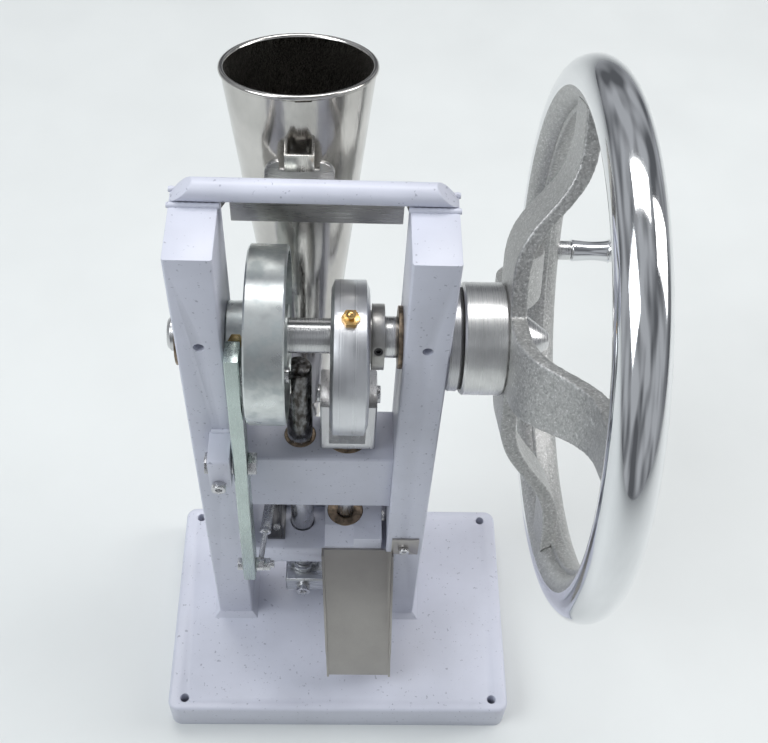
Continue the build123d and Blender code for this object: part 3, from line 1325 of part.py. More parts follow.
def link_nut():
    """The lock nut in front of the sleeve."""
    front, rear = link_ends()
    path = Plane(origin=front, z_dir=(rear - front).normalized())
    nut = extrude(Pos(0, 0, LINK_SLEEVE_START - LINK_NUT) * hexagon(LINK_NUT_AF), LINK_NUT)
    middle = LINK_SLEEVE_START - LINK_NUT / 2
    return path * (nut - Pos(0, 0, middle) * Cylinder(LINK_ROD_R, LINK_NUT))


def hopper_axis(distance):
    """The hopper's frame at a distance along its leaning axis, with local Z up the axis."""
    lean = Rot(-HOPPER_LEAN, -HOPPER_SIDE_LEAN, 0)
    return Pos(SHOE_X, SHOE_Y, HOPPER_CROSS_Z) * lean * Pos(0, 0, distance)


def frustum(low_r, high_r, z_low, z_high):
    """A cone along local Z between two heights."""
    return turned([(low_r, z_low), (high_r, z_high)])


def cone_outside(grow=0.0):
    """The hopper cone as a solid, made thicker by a given amount."""
    return frustum(CONE_LOW_R + grow, CONE_TOP_R + grow, 0, CONE_LENGTH)


def hopper():
    """The sheet cone with its shoulder, sleeve, lapped seam and wired rim."""
    neck_r = SPOUT_R + CONE_WALL
    shell = cone_outside()
    shell += frustum(neck_r, CONE_LOW_R, -SHOULDER_LENGTH, 0)
    shell += Pos(0, 0, -SHOULDER_LENGTH - SPOUT_SLEEVE / 2) * Cylinder(neck_r, SPOUT_SLEEVE)
    shell += seam()
    shell += Pos(0, 0, CONE_LENGTH) * Torus(CONE_TOP_R, RIM_WIRE_R)
    inside = frustum(CONE_LOW_R - CONE_WALL, CONE_TOP_R - CONE_WALL, 0, CONE_LENGTH)
    inside += frustum(SPOUT_R, CONE_LOW_R - CONE_WALL, -SHOULDER_LENGTH, 0)
    inside += Pos(0, 0, -SHOULDER_LENGTH - SPOUT_SLEEVE / 2) * Cylinder(SPOUT_R, SPOUT_SLEEVE)
    return hopper_axis(CONE_START) * (shell - inside)


def seam():
    """The raised lap down the cone's front."""
    lap = cone_outside(SEAM_THICK) - cone_outside()
    strip = block(-SEAM_WIDTH / 2, SEAM_WIDTH / 2, -CONE_TOP_R - SEAM_THICK, 0, 0, CONE_LENGTH - RIM_WIRE_R)
    return lap & (Rot(0, 0, SEAM_TURN) * strip)


def hopper_spout():
    """The tube from the hopper into the shoe's cup."""
    top = CONE_START - SHOULDER_LENGTH
    length = top + SPOUT_TIP
    tube = Cylinder(SPOUT_R, length) - Cylinder(SPOUT_R - SPOUT_WALL, length)
    return hopper_axis(top - length / 2) * tube


def hopper_hook():
    """The bent clip on the seam that drops over the bracket's tongue."""
    front = PLATE_FRONT - SHEET_GAP - HOOK_THICK
    left = PRONG_CENTRE_X - HOOK_WIDTH / 2
    right = PRONG_CENTRE_X + HOOK_WIDTH / 2
    bottom = PRONG_FLOOR + SHEET_GAP
    back = front + HOOK_REACH
    clip = block(left, right, front, back, bottom, HOOK_TOP)
    clip -= block(left + HOOK_THICK, right - HOOK_THICK, front + HOOK_THICK, back, bottom, HOOK_TOP)
    return clip - hopper_axis(CONE_START) * (cone_outside() + seam())


def hopper_bracket():
    """The plate behind the columns with its two arms, prongs and tongue."""
    back = PLATE_FRONT + PLATE_THICK
    plate = block(LEFT_INNER, RIGHT_INNER, PLATE_FRONT, back, PLATE_BOTTOM, PLATE_TOP)
    prong_left = PRONG_CENTRE_X - PRONG_SPAN / 2
    prong_right = PRONG_CENTRE_X + PRONG_SPAN / 2
    riser = block(prong_left, prong_right, PLATE_FRONT, back, PLATE_TOP, PRONG_TOP)
    riser = fillet(riser.edges().filter_by(Axis.Y).group_by(Axis.Z)[-1], PRONG_CORNER_R)
    plate += riser
    gap_left = PRONG_CENTRE_X - PRONG_GAP / 2
    gap_right = PRONG_CENTRE_X + PRONG_GAP / 2
    plate -= block(gap_left, gap_right, PLATE_FRONT, back, PRONG_FLOOR, PRONG_TOP)
    tongue_left = PRONG_CENTRE_X - TONGUE_WIDTH / 2
    tongue_right = PRONG_CENTRE_X + TONGUE_WIDTH / 2
    plate += block(tongue_left, tongue_right, PLATE_FRONT, back, PRONG_FLOOR, TONGUE_TOP)
    outline = Polyline(
        (COLUMN_BACK, COLUMN_TOP),
        (COLUMN_BACK, ARM_SEAT_LOW),
        (back, ARM_LOW),
        (back, PLATE_TOP),
        close=True,
    )
    side = make_face(outline)
    plate += extrude(Plane.YZ.offset(LEFT_INNER - ARM_THICK) * side, ARM_THICK)
    return plate + extrude(Plane.YZ.offset(RIGHT_INNER) * side, ARM_THICK)


def chute_plane():
    """The chute's upper face: local X to the right, local Y down the slope, local Z into the sheet."""
    turn = radians(CHUTE_SLOPE)
    start = (0, TABLE_FRONT - CHUTE_SHEET, CHUTE_TOP_Z)
    return Plane(origin=start, x_dir=(1, 0, 0), z_dir=(0, sin(turn), -cos(turn)))


def chute_side(top_x, end_x, thick):
    """An upturned side on the trough's edge, cut down towards the lower end."""
    plan = Polyline(
        (top_x, 0),
        (top_x + thick, 0),
        (end_x + thick, CHUTE_LENGTH),
        (end_x, CHUTE_LENGTH),
        close=True,
    )
    outline = Polyline(
        (0, CHUTE_SHEET),
        (CHUTE_LENGTH, CHUTE_SHEET),
        (CHUTE_LENGTH, -CHUTE_SIDE_END),
        (CHUTE_SIDE_STEP + CHUTE_SIDE, -CHUTE_SIDE_END),
        (CHUTE_SIDE_STEP, -CHUTE_SIDE),
        (0, -CHUTE_SIDE),
        close=True,
    )
    wall = extrude(Pos(0, 0, -CHUTE_SIDE) * make_face(plan), CHUTE_SIDE + CHUTE_SHEET)
    return wall & extrude(Plane.YZ * make_face(outline), CHUTE_TOP_WIDTH, both=True)


def chute():
    """The folded sheet chute with its fixing tab and the ear on the right column."""
    right = CHUTE_LEFT + CHUTE_TOP_WIDTH
    end_right = CHUTE_END_LEFT + CHUTE_END_WIDTH
    outline = Polyline(
        (CHUTE_LEFT, 0),
        (right, 0),
        (end_right, CHUTE_LENGTH),
        (CHUTE_END_LEFT, CHUTE_LENGTH),
        close=True,
    )
    trough = extrude(make_face(outline), CHUTE_SHEET)
    trough += chute_side(CHUTE_LEFT, CHUTE_END_LEFT, CHUTE_SHEET)
    trough += chute_side(right, end_right, -CHUTE_SHEET)
    sheet = chute_plane() * trough
    tab_right = RIGHT_INNER - SHEET_GAP
    tab_front = TABLE_FRONT - CHUTE_SHEET
    sheet += block(CHUTE_LEFT, tab_right, tab_front, TABLE_FRONT, CHUTE_TAB_BOTTOM, CHUTE_TOP_Z)
    ear_front = COLUMN_FRONT - CHUTE_SHEET
    ear_left = right - CHUTE_SHEET
    ear_low = CHUTE_TOP_Z - CHUTE_SHEET
    sheet += block(ear_left, CHUTE_EAR_RIGHT, ear_front, COLUMN_FRONT, ear_low, CHUTE_EAR_TOP)
    sheet -= block(tab_right, RIGHT_OUTER, COLUMN_FRONT, COLUMN_BACK, CHUTE_TAB_BOTTOM, COLUMN_TOP)
    for x in CHUTE_TABLE_SCREWS:
        sheet -= rod_y(SMALL_SCREW_R, tab_front, TABLE_FRONT, x, CHUTE_SCREW_Z)
    return sheet - rod_y(SMALL_SCREW_R, ear_front, COLUMN_FRONT, CHUTE_EAR_SCREW_X, CHUTE_EAR_SCREW_Z)


def chute_screw(x, y_back, z):
    """A button-head screw with its head on the sheet's front face."""
    front = y_back - CHUTE_SHEET
    shank = CHUTE_SHEET + SCREW_BITE
    screw = socket_screw(SMALL_SCREW_R, shank, CHUTE_SCREW_HEAD_R, CHUTE_SCREW_HEAD, GRUB_SOCKET_AF)
    return Pos(x, front, z) * Rot(90, 0, 0) * screw


def save_frame():
    """Write the pieces that stand still."""
    left = column(LEFT_OUTER)
    left -= rod_y(SMALL_SCREW_R, COLUMN_FRONT, COLUMN_FRONT + SCREW_BITE, BRACKET_SCREW_X, BRACKET_SCREW_Z)
    right = column(RIGHT_INNER)
    bite_end = COLUMN_FRONT + SCREW_BITE
    right -= rod_y(SMALL_SCREW_R, COLUMN_FRONT, bite_end, CHUTE_EAR_SCREW_X, CHUTE_EAR_SCREW_Z)
    save("base_plate", base_plate())
    save("left_column", left)
    save("right_column", right)
    save("carry_bar", carry_bar())
    save("crossbeam", crossbeam())
    save("ram_bush", beam_bush(RAM_BUSH_R, RAM_R, PRESS_X))
    save("lift_rod_bush", beam_bush(LIFT_BUSH_R, LIFT_ROD_R, LIFT_X))
    save("die_table", die_table())
    save("die_block", die_block())
    save("die", die())
    save("die_lock_screw", die_lock_screw())
    save("guide_strip", guide_strip())
    save("guide_strip_screws", *[strip_screw(x, y) for x, y in strip_screw_places()])
    left_flange = LEFT_OUTER - LEFT_FLANGE_THICK
    right_flange = RIGHT_INNER - RIGHT_FLANGE_THICK
    save("left_bearing_bush", bearing_bush(left_flange, LEFT_OUTER, LEFT_OUTER, LEFT_INNER))
    save("right_bearing_bush", bearing_bush(right_flange, RIGHT_INNER, RIGHT_INNER, RIGHT_OUTER))
    save("bearing_flange", ring(HOUSING_R, HOUSING_BORE_R, RIGHT_OUTER, HOUSING_RIGHT, HOUSING_EDGE))
    save("thrust_washer", ring(WASHER_R, HOUSING_BORE_R, HOUSING_RIGHT, WASHER_RIGHT))
    save("lever_bracket", lever_bracket())
    save("socket_screws", bracket_screw(), *[block_screw(x, y) for x, y in BLOCK_SCREWS])
    save("lever_pivot_bolt", lever_pivot(), lever_pivot_nut())
    save("shoe_pivot_pin", shoe_pivot_pin())
    save("hopper_bracket", hopper_bracket())
    save("hopper", hopper())
    save("hopper_spout", hopper_spout())
    save("hopper_hook", hopper_hook())
    save("discharge_chute", chute())
    screws = [chute_screw(x, TABLE_FRONT, CHUTE_SCREW_Z) for x in CHUTE_TABLE_SCREWS]
    screws.append(chute_screw(CHUTE_EAR_SCREW_X, COLUMN_FRONT, CHUTE_EAR_SCREW_Z))
    save("chute_screws", *screws)


def save_crankshaft():
    """Write the pieces that turn with the handwheel, and the grip on it."""
    save("main_shaft", main_shaft())
    save("shaft_keys", *shaft_keys())
    save("cam_wheel", cam_wheel())
    save("cam_set_bolt", cam_set_bolt())
    save("eccentric_disc", eccentric_disc())
    save("shaft_spacer", shaft_spacer())
    save(
        "shaft_grub_screws",
        shaft_grub(COLLAR_GRUB_ANGLE, COLLAR_R, (COLLAR_LEFT + COLLAR_RIGHT) / 2),
        shaft_grub(HUB_GRUB_ANGLE, WHEEL_HUB_R, hub_grub_x()),
    )
    save("wheel_hub", wheel_hub())
    rim = handwheel_rim()
    save("handwheel_rim", rim)
    save("handwheel_spider", handwheel_spider(rim))
    save("cone_nut", cone_nut())
    save("handle_spindle", handle_spindle(rim))
    save("handle_grip", handle_grip())


def save_strap_and_ram():
    """Write the strap on the eccentric, and the ram with the upper punch."""
    save("eccentric_strap", eccentric_strap())
    save("grease_nipple", grease_nipple())
    save("ram", ram())
    save("fork_screws", *fork_screws())
    save("upper_punch", upper_punch())
    save("punch_screw", punch_screw())


def save_lift():
    """Write the lift rod, its roller and nuts, the yoke and the lower punch."""
    save("lift_rod", lift_rod(), lift_roller_pin())
    save("lift_roller", lift_roller())
    save("yoke", yoke())
    save("yoke_screws", *[yoke_screw(x, rod_r) for x, rod_r in yoke_screw_places()])
    save("lift_nuts", lift_nut(YOKE_TOP), lift_nut(YOKE_BOTTOM - LIFT_NUT_THICK))
    save("lower_punch", lower_punch())


def save_feed():
    """Write the lever, the link and the shoe."""
    save("feed_lever", feed_lever())
    save("lever_roller_pin", lever_roller_pin())
    save("lever_roller", lever_roller())
    save("foot_bolt", *foot_bolt())
    save("link_rod", link_rod())
    save("link_nut", link_nut())
    save("feed_shoe", feed_shoe())
    save("shoe_tail_pin", shoe_tail_pin())


os.makedirs("parts", exist_ok=True)
save_frame()
save_crankshaft()
save_strap_and_ram()
save_lift()
save_feed()
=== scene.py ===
"""Looks of a hand-cranked single-punch tablet press.

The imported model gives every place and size. Each sub-assembly dresses its own pieces: the round
ones are turned again with fine edges, the flat ones get machined, folded or cast edges, and every
finish is a procedural material. A pale studio stands round the press.
"""

import json
import logging
import math
from dataclasses import dataclass
from enum import Enum

import bpy
from mathutils import Matrix, Vector

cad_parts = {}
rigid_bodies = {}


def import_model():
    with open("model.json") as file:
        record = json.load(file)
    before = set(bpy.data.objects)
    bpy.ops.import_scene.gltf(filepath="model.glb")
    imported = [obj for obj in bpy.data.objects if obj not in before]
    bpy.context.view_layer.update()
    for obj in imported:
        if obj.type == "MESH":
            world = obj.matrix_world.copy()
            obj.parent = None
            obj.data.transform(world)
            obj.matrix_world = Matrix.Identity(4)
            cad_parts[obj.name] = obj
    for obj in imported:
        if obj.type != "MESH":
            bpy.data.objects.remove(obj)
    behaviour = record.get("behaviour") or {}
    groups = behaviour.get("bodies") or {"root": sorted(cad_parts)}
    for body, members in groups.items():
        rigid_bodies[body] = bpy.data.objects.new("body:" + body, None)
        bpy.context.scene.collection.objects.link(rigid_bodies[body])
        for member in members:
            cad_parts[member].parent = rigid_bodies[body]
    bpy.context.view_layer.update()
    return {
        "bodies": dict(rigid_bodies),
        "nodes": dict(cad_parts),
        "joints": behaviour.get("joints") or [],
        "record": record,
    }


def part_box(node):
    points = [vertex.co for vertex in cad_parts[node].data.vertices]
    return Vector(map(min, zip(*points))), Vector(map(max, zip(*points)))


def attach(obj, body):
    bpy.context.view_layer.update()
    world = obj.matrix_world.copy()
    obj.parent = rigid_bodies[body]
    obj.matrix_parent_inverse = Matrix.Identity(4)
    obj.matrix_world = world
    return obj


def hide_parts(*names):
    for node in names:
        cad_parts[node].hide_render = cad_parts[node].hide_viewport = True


LOG = logging.getLogger("tablet_press")
MM = 0.001
RGB = tuple[float, float, float]
Profile = list[tuple[float, float]]
NOISE_LOW = 0.3
NOISE_HIGH = 0.7
SAME_SIZE = 1e-9
MERGE_REACH = 1e-7
NODE_MERGE_REACH = 2e-6
FLAT_ANGLE = 0.4
EDGE_ANGLE = 38.0


class Along(Enum):
    """The direction that a turned piece or a brushed grain runs in."""

    X = (1.0, 0.0, 0.0)
    Y = (0.0, 1.0, 0.0)
    Z = (0.0, 0.0, 1.0)


class NodeSheet:
    """A material's node sheet, with one call for each kind of node that the finishes use."""

    def __init__(self, name: str) -> None:
        """Start a material with its Principled shader and its Object coordinates."""
        self.material = bpy.data.materials.new(name)
        self.material.use_nodes = True
        self.tree = self.material.node_tree
        self.shader = self.tree.nodes["Principled BSDF"]
        self.coords = self.tree.nodes.new("ShaderNodeTexCoord").outputs["Object"]

    def add(self, kind: str, **settings: object) -> bpy.types.Node:
        """Add a node.

        Args:
            kind: the node's type name.
            settings: properties to set on it.

        Returns:
            The new node.
        """
        node = self.tree.nodes.new(kind)
        for key, value in settings.items():
            setattr(node, key, value)
        return node

    def join(self, source: bpy.types.NodeSocket, target: bpy.types.NodeSocket) -> None:
        """Link two sockets."""
        self.tree.links.new(source, target)

    def mapped(self, centre: Vector, scale: RGB) -> bpy.types.NodeSocket:
        """Object coordinates, centred and stretched.

        Args:
            centre: the point that becomes the pattern's middle, in metres.
            scale: a factor for each axis.

        Returns:
            The mapped vector.
        """
        centred = self.add("ShaderNodeVectorMath", operation="SUBTRACT")
        self.join(self.coords, centred.inputs[0])
        centred.inputs[1].default_value = centre
        scaled = self.add("ShaderNodeVectorMath", operation="MULTIPLY")
        self.join(centred.outputs[0], scaled.inputs[0])
        scaled.inputs[1].default_value = scale
        return scaled.outputs[0]

    def radial(self, centre: Vector, along: Along) -> bpy.types.NodeSocket:
        """A vector of the distance from an axis and the place along it, for turning marks.

        Args:
            centre: a point on the axis.
            along: the axis' direction.

        Returns:
            The vector (radius, place along the axis, 0).
        """
        flat = self.mapped(centre, tuple(1.0 - part for part in along.value))
        radius = self.add("ShaderNodeVectorMath", operation="LENGTH")
        self.join(flat, radius.inputs[0])
        place = self.add("ShaderNodeVectorMath", operation="DOT_PRODUCT")
        self.join(self.coords, place.inputs[0])
        place.inputs[1].default_value = along.value
        packed = self.add("ShaderNodeCombineXYZ")
        self.join(radius.outputs["Value"], packed.inputs[0])
        self.join(place.outputs["Value"], packed.inputs[1])
        return packed.outputs[0]

    def noise(
        self, vector: bpy.types.NodeSocket, scale: float, detail: float = 3.0
    ) -> bpy.types.NodeSocket:
        """Noise of a given scale on a vector, as a grey value."""
        node = self.add("ShaderNodeTexNoise")
        self.join(vector, node.inputs["Vector"])
        node.inputs["Scale"].default_value = scale
        node.inputs["Detail"].default_value = detail
        return node.outputs["Fac"]

    def cells(self, vector: bpy.types.NodeSocket, scale: float) -> bpy.types.NodeSocket:
        """The random grey of each small cell, for crystals and sparkle."""
        node = self.add("ShaderNodeTexVoronoi")
        self.join(vector, node.inputs["Vector"])
        node.inputs["Scale"].default_value = scale
        return node.outputs["Color"]

    def ramp(self, value: bpy.types.NodeSocket, *stops: tuple[float, RGB]) -> bpy.types.NodeSocket:
        """Colours along a grey value.

        Args:
            value: the grey value.
            stops: pairs of a place and a colour.

        Returns:
            The colour.
        """
        node = self.add("ShaderNodeValToRGB")
        self.join(value, node.inputs[0])
        elements = node.color_ramp.elements
        while len(elements) < len(stops):
            elements.new(0.5)
        for element, (place, colour) in zip(elements, stops):
            element.position = place
            element.color = (*colour, 1.0)
        return node.outputs["Color"]

    def level(self, value: bpy.types.NodeSocket, low: float, high: float) -> bpy.types.NodeSocket:
        """A grey value spread over a new range."""
        node = self.add("ShaderNodeMapRange")
        self.join(value, node.inputs["Value"])
        node.inputs["From Min"].default_value = NOISE_LOW
        node.inputs["From Max"].default_value = NOISE_HIGH
        node.inputs["To Min"].default_value = low
        node.inputs["To Max"].default_value = high
        return node.outputs["Result"]

    def mixed(
        self, share: bpy.types.NodeSocket, one: bpy.types.NodeSocket, two: bpy.types.NodeSocket
    ) -> bpy.types.NodeSocket:
        """One colour fading into another by a grey value."""
        node = self.add("ShaderNodeMix", data_type="RGBA")
        self.join(share, node.inputs[0])
        self.join(one, node.inputs[6])
        self.join(two, node.inputs[7])
        return node.outputs[2]

    def bump(self, height: bpy.types.NodeSocket, strength: float, depth: float) -> None:
        """Raise the surface by a grey value.

        Args:
            height: the grey value.
            strength: how much of it is felt.
            depth: the height of white over black, in metres.
        """
        node = self.add("ShaderNodeBump")
        node.inputs["Strength"].default_value = strength
        node.inputs["Distance"].default_value = depth
        self.join(height, node.inputs["Height"])
        self.join(node.outputs[0], self.shader.inputs["Normal"])

    def numbers(self, metallic: float, coat: float = 0.0, coat_roughness: float = 0.1) -> None:
        """Set the shader's plain numbers."""
        self.shader.inputs["Metallic"].default_value = metallic
        self.shader.inputs["Coat Weight"].default_value = coat
        self.shader.inputs["Coat Roughness"].default_value = coat_roughness

    def colour(self, value: bpy.types.NodeSocket) -> None:
        """Use a colour for the surface."""
        self.join(value, self.shader.inputs["Base Color"])

    def roughness(self, value: bpy.types.NodeSocket) -> None:
        """Use a grey value for the roughness."""
        self.join(value, self.shader.inputs["Roughness"])


def shade(colour: RGB, factor: float) -> RGB:
    """A colour made lighter or darker by a factor."""
    return tuple(min(1.0, part * factor) for part in colour)


@dataclass(frozen=True)
class Paint:
    """Sprayed paint: a faint orange peel, cloudy tone and small specks of dirt."""

    name: str = "frame_paint"
    colour: RGB = (0.60, 0.615, 0.70)

    def material(self) -> bpy.types.Material:
        """Build the paint's material."""
        sheet = NodeSheet(self.name)
        sheet.numbers(0.0, coat=0.25, coat_roughness=0.25)
        cloud = sheet.noise(sheet.coords, 26.0, 4.0)
        tone = sheet.ramp(cloud, (0.3, shade(self.colour, 0.93)), (0.7, shade(self.colour, 1.05)))
        speck = sheet.noise(sheet.coords, 420.0, 2.0)
        dirt = sheet.ramp(speck, (0.27, shade(self.colour, 0.62)), (0.33, (1.0, 1.0, 1.0)))
        soiled = sheet.add("ShaderNodeMix", data_type="RGBA", blend_type="MULTIPLY")
        soiled.inputs[0].default_value = 0.6
        sheet.join(tone, soiled.inputs[6])
        sheet.join(dirt, soiled.inputs[7])
        sheet.colour(soiled.outputs[2])
        sheet.roughness(sheet.level(cloud, 0.36, 0.5))
        sheet.bump(sheet.noise(sheet.coords, 750.0, 2.0), 0.12, 0.0003)
        return sheet.material


@dataclass(frozen=True)
class Turned:
    """Lathe-turned steel with fine rings round its axis."""

    name: str
    colour: RGB
    centre: tuple[float, float, float]
    along: Along
    rough: float = 0.26
    mottle: float = 0.12

    def material(self) -> bpy.types.Material:
        """Build the turned steel's material."""
        sheet = NodeSheet(self.name)
        sheet.numbers(1.0)
        rings = sheet.noise(sheet.radial(Vector(self.centre), self.along), 2600.0, 2.0)
        stain = sheet.noise(sheet.coords, 60.0, 5.0)
        bright = sheet.ramp(stain, (0.3, shade(self.colour, 1 - self.mottle)), (0.68, self.colour))
        sheet.colour(bright)
        sheet.roughness(sheet.level(rings, self.rough - 0.07, self.rough + 0.1))
        sheet.bump(rings, 0.22, 0.00012)
        return sheet.material


@dataclass(frozen=True)
class Brushed:
    """Flat steel or sheet with straight grain, a soft stain and a few scratches."""

    name: str
    colour: RGB
    along: Along
    rough: float = 0.28
    stain: float = 0.15

    def material(self) -> bpy.types.Material:
        """Build the brushed steel's material."""
        sheet = NodeSheet(self.name)
        sheet.numbers(1.0)
        stretch = tuple(0.03 if part else 1.0 for part in self.along.value)
        grain = sheet.noise(sheet.mapped(Vector(), stretch), 1500.0, 3.0)
        blotch = sheet.noise(sheet.coords, 34.0, 5.0)
        stained = shade(self.colour, 1 - self.stain)
        sheet.colour(sheet.ramp(blotch, (0.32, stained), (0.66, self.colour)))
        sheet.roughness(sheet.level(grain, self.rough - 0.06, self.rough + 0.12))
        sheet.bump(grain, 0.2, 0.0001)
        return sheet.material


@dataclass(frozen=True)
class Mottled:
    """Dull zinc with a blotchy bloom, worn brighter in patches."""

    name: str
    colour: RGB
    dark: RGB
    rough: float = 0.34

    def material(self) -> bpy.types.Material:
        """Build the zinc's material."""
        sheet = NodeSheet(self.name)
        sheet.numbers(1.0)
        bloom = sheet.noise(sheet.coords, 95.0, 8.0)
        middle = shade(self.colour, 0.9)
        sheet.colour(sheet.ramp(bloom, (0.38, self.dark), (0.5, middle), (0.64, self.colour)))
        sheet.roughness(sheet.level(bloom, self.rough + 0.12, self.rough - 0.1))
        sheet.bump(sheet.noise(sheet.coords, 900.0, 3.0), 0.12, 0.00012)
        return sheet.material


@dataclass(frozen=True)
class Mirror:
    """Polished chrome with the softest smears."""

    name: str = "chrome"
    colour: RGB = (0.80, 0.81, 0.82)

    def material(self) -> bpy.types.Material:
        """Build the chrome's material."""
        sheet = NodeSheet(self.name)
        sheet.numbers(1.0)
        smear = sheet.noise(sheet.coords, 22.0, 4.0)
        sheet.colour(sheet.ramp(smear, (0.3, shade(self.colour, 0.94)), (0.7, self.colour)))
        sheet.roughness(sheet.level(smear, 0.045, 0.12))
        return sheet.material


@dataclass(frozen=True)
class RawCasting:
    """Rough, sparkling cast metal that was never machined."""

    name: str = "raw_casting"
    colour: RGB = (0.52, 0.52, 0.51)

    def material(self) -> bpy.types.Material:
        """Build the casting's material."""
        sheet = NodeSheet(self.name)
        sheet.numbers(0.85)
        grit = sheet.noise(sheet.coords, 620.0, 6.0)
        crystal = sheet.cells(sheet.coords, 1300.0)
        dull = sheet.ramp(grit, (0.34, shade(self.colour, 0.55)), (0.66, shade(self.colour, 1.12)))
        glint = sheet.ramp(crystal, (0.62, shade(self.colour, 0.95)), (0.93, (0.95, 0.95, 0.94)))
        share = sheet.level(sheet.noise(sheet.coords, 240.0, 3.0), 0.2, 0.65)
        sheet.colour(sheet.mixed(share, dull, glint))
        sheet.roughness(sheet.level(grit, 0.34, 0.6))
        sheet.bump(grit, 0.75, 0.0007)
        return sheet.material


@dataclass(frozen=True)
class Alloy:
    """A coloured metal such as brass or bronze, a little tarnished."""

    name: str
    colour: RGB
    dark: RGB
    rough: float = 0.3

    def material(self) -> bpy.types.Material:
        """Build the alloy's material."""
        sheet = NodeSheet(self.name)
        sheet.numbers(1.0)
        tarnish = sheet.noise(sheet.coords, 260.0, 5.0)
        sheet.colour(sheet.ramp(tarnish, (0.35, self.dark), (0.6, self.colour)))
        sheet.roughness(sheet.level(tarnish, self.rough + 0.1, self.rough - 0.05))
        sheet.bump(sheet.noise(sheet.coords, 1500.0, 2.0), 0.1, 0.0001)
        return sheet.material


@dataclass(frozen=True)
class GreasedRod:
    """A bright ground rod with a torn line of dark grease above its bush."""

    name: str
    colour: RGB
    line_z: float
    dark: RGB = (0.05, 0.045, 0.04)
    ragged_reach: float = 12.0 * MM
    fade_from: float = 4.5 * MM
    fade_to: float = 7.5 * MM

    def material(self) -> bpy.types.Material:
        """Build the rod's material."""
        sheet = NodeSheet(self.name)
        sheet.numbers(1.0)
        place = sheet.add("ShaderNodeSeparateXYZ")
        sheet.join(sheet.coords, place.inputs[0])
        ragged = sheet.noise(sheet.mapped(Vector(), (1.0, 1.0, 0.4)), 330.0, 4.0)
        height = sheet.add("ShaderNodeMath", operation="MULTIPLY_ADD")
        sheet.join(ragged, height.inputs[0])
        height.inputs[1].default_value = self.ragged_reach
        sheet.join(place.outputs["Z"], height.inputs[2])
        share = sheet.add("ShaderNodeMapRange")
        sheet.join(height.outputs[0], share.inputs["Value"])
        share.inputs["From Min"].default_value = self.line_z + self.fade_from
        share.inputs["From Max"].default_value = self.line_z + self.fade_to
        lines = sheet.noise(sheet.mapped(Vector(), (1.0, 1.0, 0.02)), 1400.0, 2.0)
        steel = sheet.ramp(lines, (0.3, shade(self.colour, 0.82)), (0.7, self.colour))
        film = sheet.ramp(ragged, (0.4, self.dark), (0.7, shade(self.colour, 0.35)))
        sheet.colour(sheet.mixed(share.outputs["Result"], steel, film))
        sheet.roughness(sheet.level(ragged, 0.16, 0.3))
        return sheet.material


@dataclass(frozen=True)
class Fibre:
    """A dull black pressed-fibre washer."""

    name: str = "black_fibre"
    colour: RGB = (0.018, 0.018, 0.018)

    def material(self) -> bpy.types.Material:
        """Build the fibre's material."""
        sheet = NodeSheet(self.name)
        sheet.numbers(0.0)
        fuzz = sheet.noise(sheet.coords, 800.0, 4.0)
        sheet.colour(sheet.ramp(fuzz, (0.3, self.colour), (0.7, shade(self.colour, 2.2))))
        sheet.roughness(sheet.level(fuzz, 0.5, 0.75))
        sheet.bump(fuzz, 0.3, 0.0002)
        return sheet.material


Finish = Paint | Turned | Brushed | Mottled | Mirror | RawCasting | Alloy | GreasedRod | Fibre


class FinishShelf:
    """Keeps one material for each finish, so pieces with the same finish share it."""

    def __init__(self) -> None:
        """Start with no materials."""
        self.made: dict[Finish, bpy.types.Material] = {}

    def take(self, finish: Finish) -> bpy.types.Material:
        """The material of a finish, built on first use."""
        if finish not in self.made:
            self.made[finish] = finish.material()
        return self.made[finish]


def deselect() -> None:
    """Leave edit mode and select nothing."""
    if bpy.context.object and bpy.context.object.mode != "OBJECT":
        bpy.ops.object.mode_set(mode="OBJECT")
    bpy.ops.object.select_all(action="DESELECT")


def settle(piece: bpy.types.Object, name: str, place: Matrix | None = None) -> bpy.types.Object:
    """Name a piece and put its place into its mesh.

    Args:
        piece: the new object.
        name: its name.
        place: where it goes, as a matrix.

    Returns:
        The piece, at the origin.
    """
    deselect()
    piece.name = name
    piece.data.name = name
    piece.select_set(True)
    bpy.context.view_layer.objects.active = piece
    if place is not None:
        piece.matrix_world = place @ piece.matrix_world
    bpy.ops.object.transform_apply(location=True, rotation=True, scale=True)
    return piece


def smooth(piece: bpy.types.Object, angle: float = 32.0) -> None:
    """Shade a piece smooth, except at edges sharper than an angle in degrees."""
    deselect()
    piece.select_set(True)
    bpy.context.view_layer.objects.active = piece
    bpy.ops.object.shade_smooth_by_angle(angle=math.radians(angle))


def apply_modifier(piece: bpy.types.Object, kind: str, **settings: object) -> None:
    """Add a modifier and apply it at once.

    Args:
        piece: the piece.
        kind: the modifier's type name.
        settings: properties to set on it.
    """
    deselect()
    piece.select_set(True)
    bpy.context.view_layer.objects.active = piece
    modifier = piece.modifiers.new(kind.lower(), kind)
    for key, value in settings.items():
        setattr(modifier, key, value)
    bpy.ops.object.modifier_apply(modifier=modifier.name)


def axis_place(origin: Vector, along: Along) -> Matrix:
    """The place of a piece that was made along Z and now runs along another axis."""
    turn = Vector((0, 0, 1)).rotation_difference(Vector(along.value)).to_matrix().to_4x4()
    return Matrix.Translation(origin) @ turn


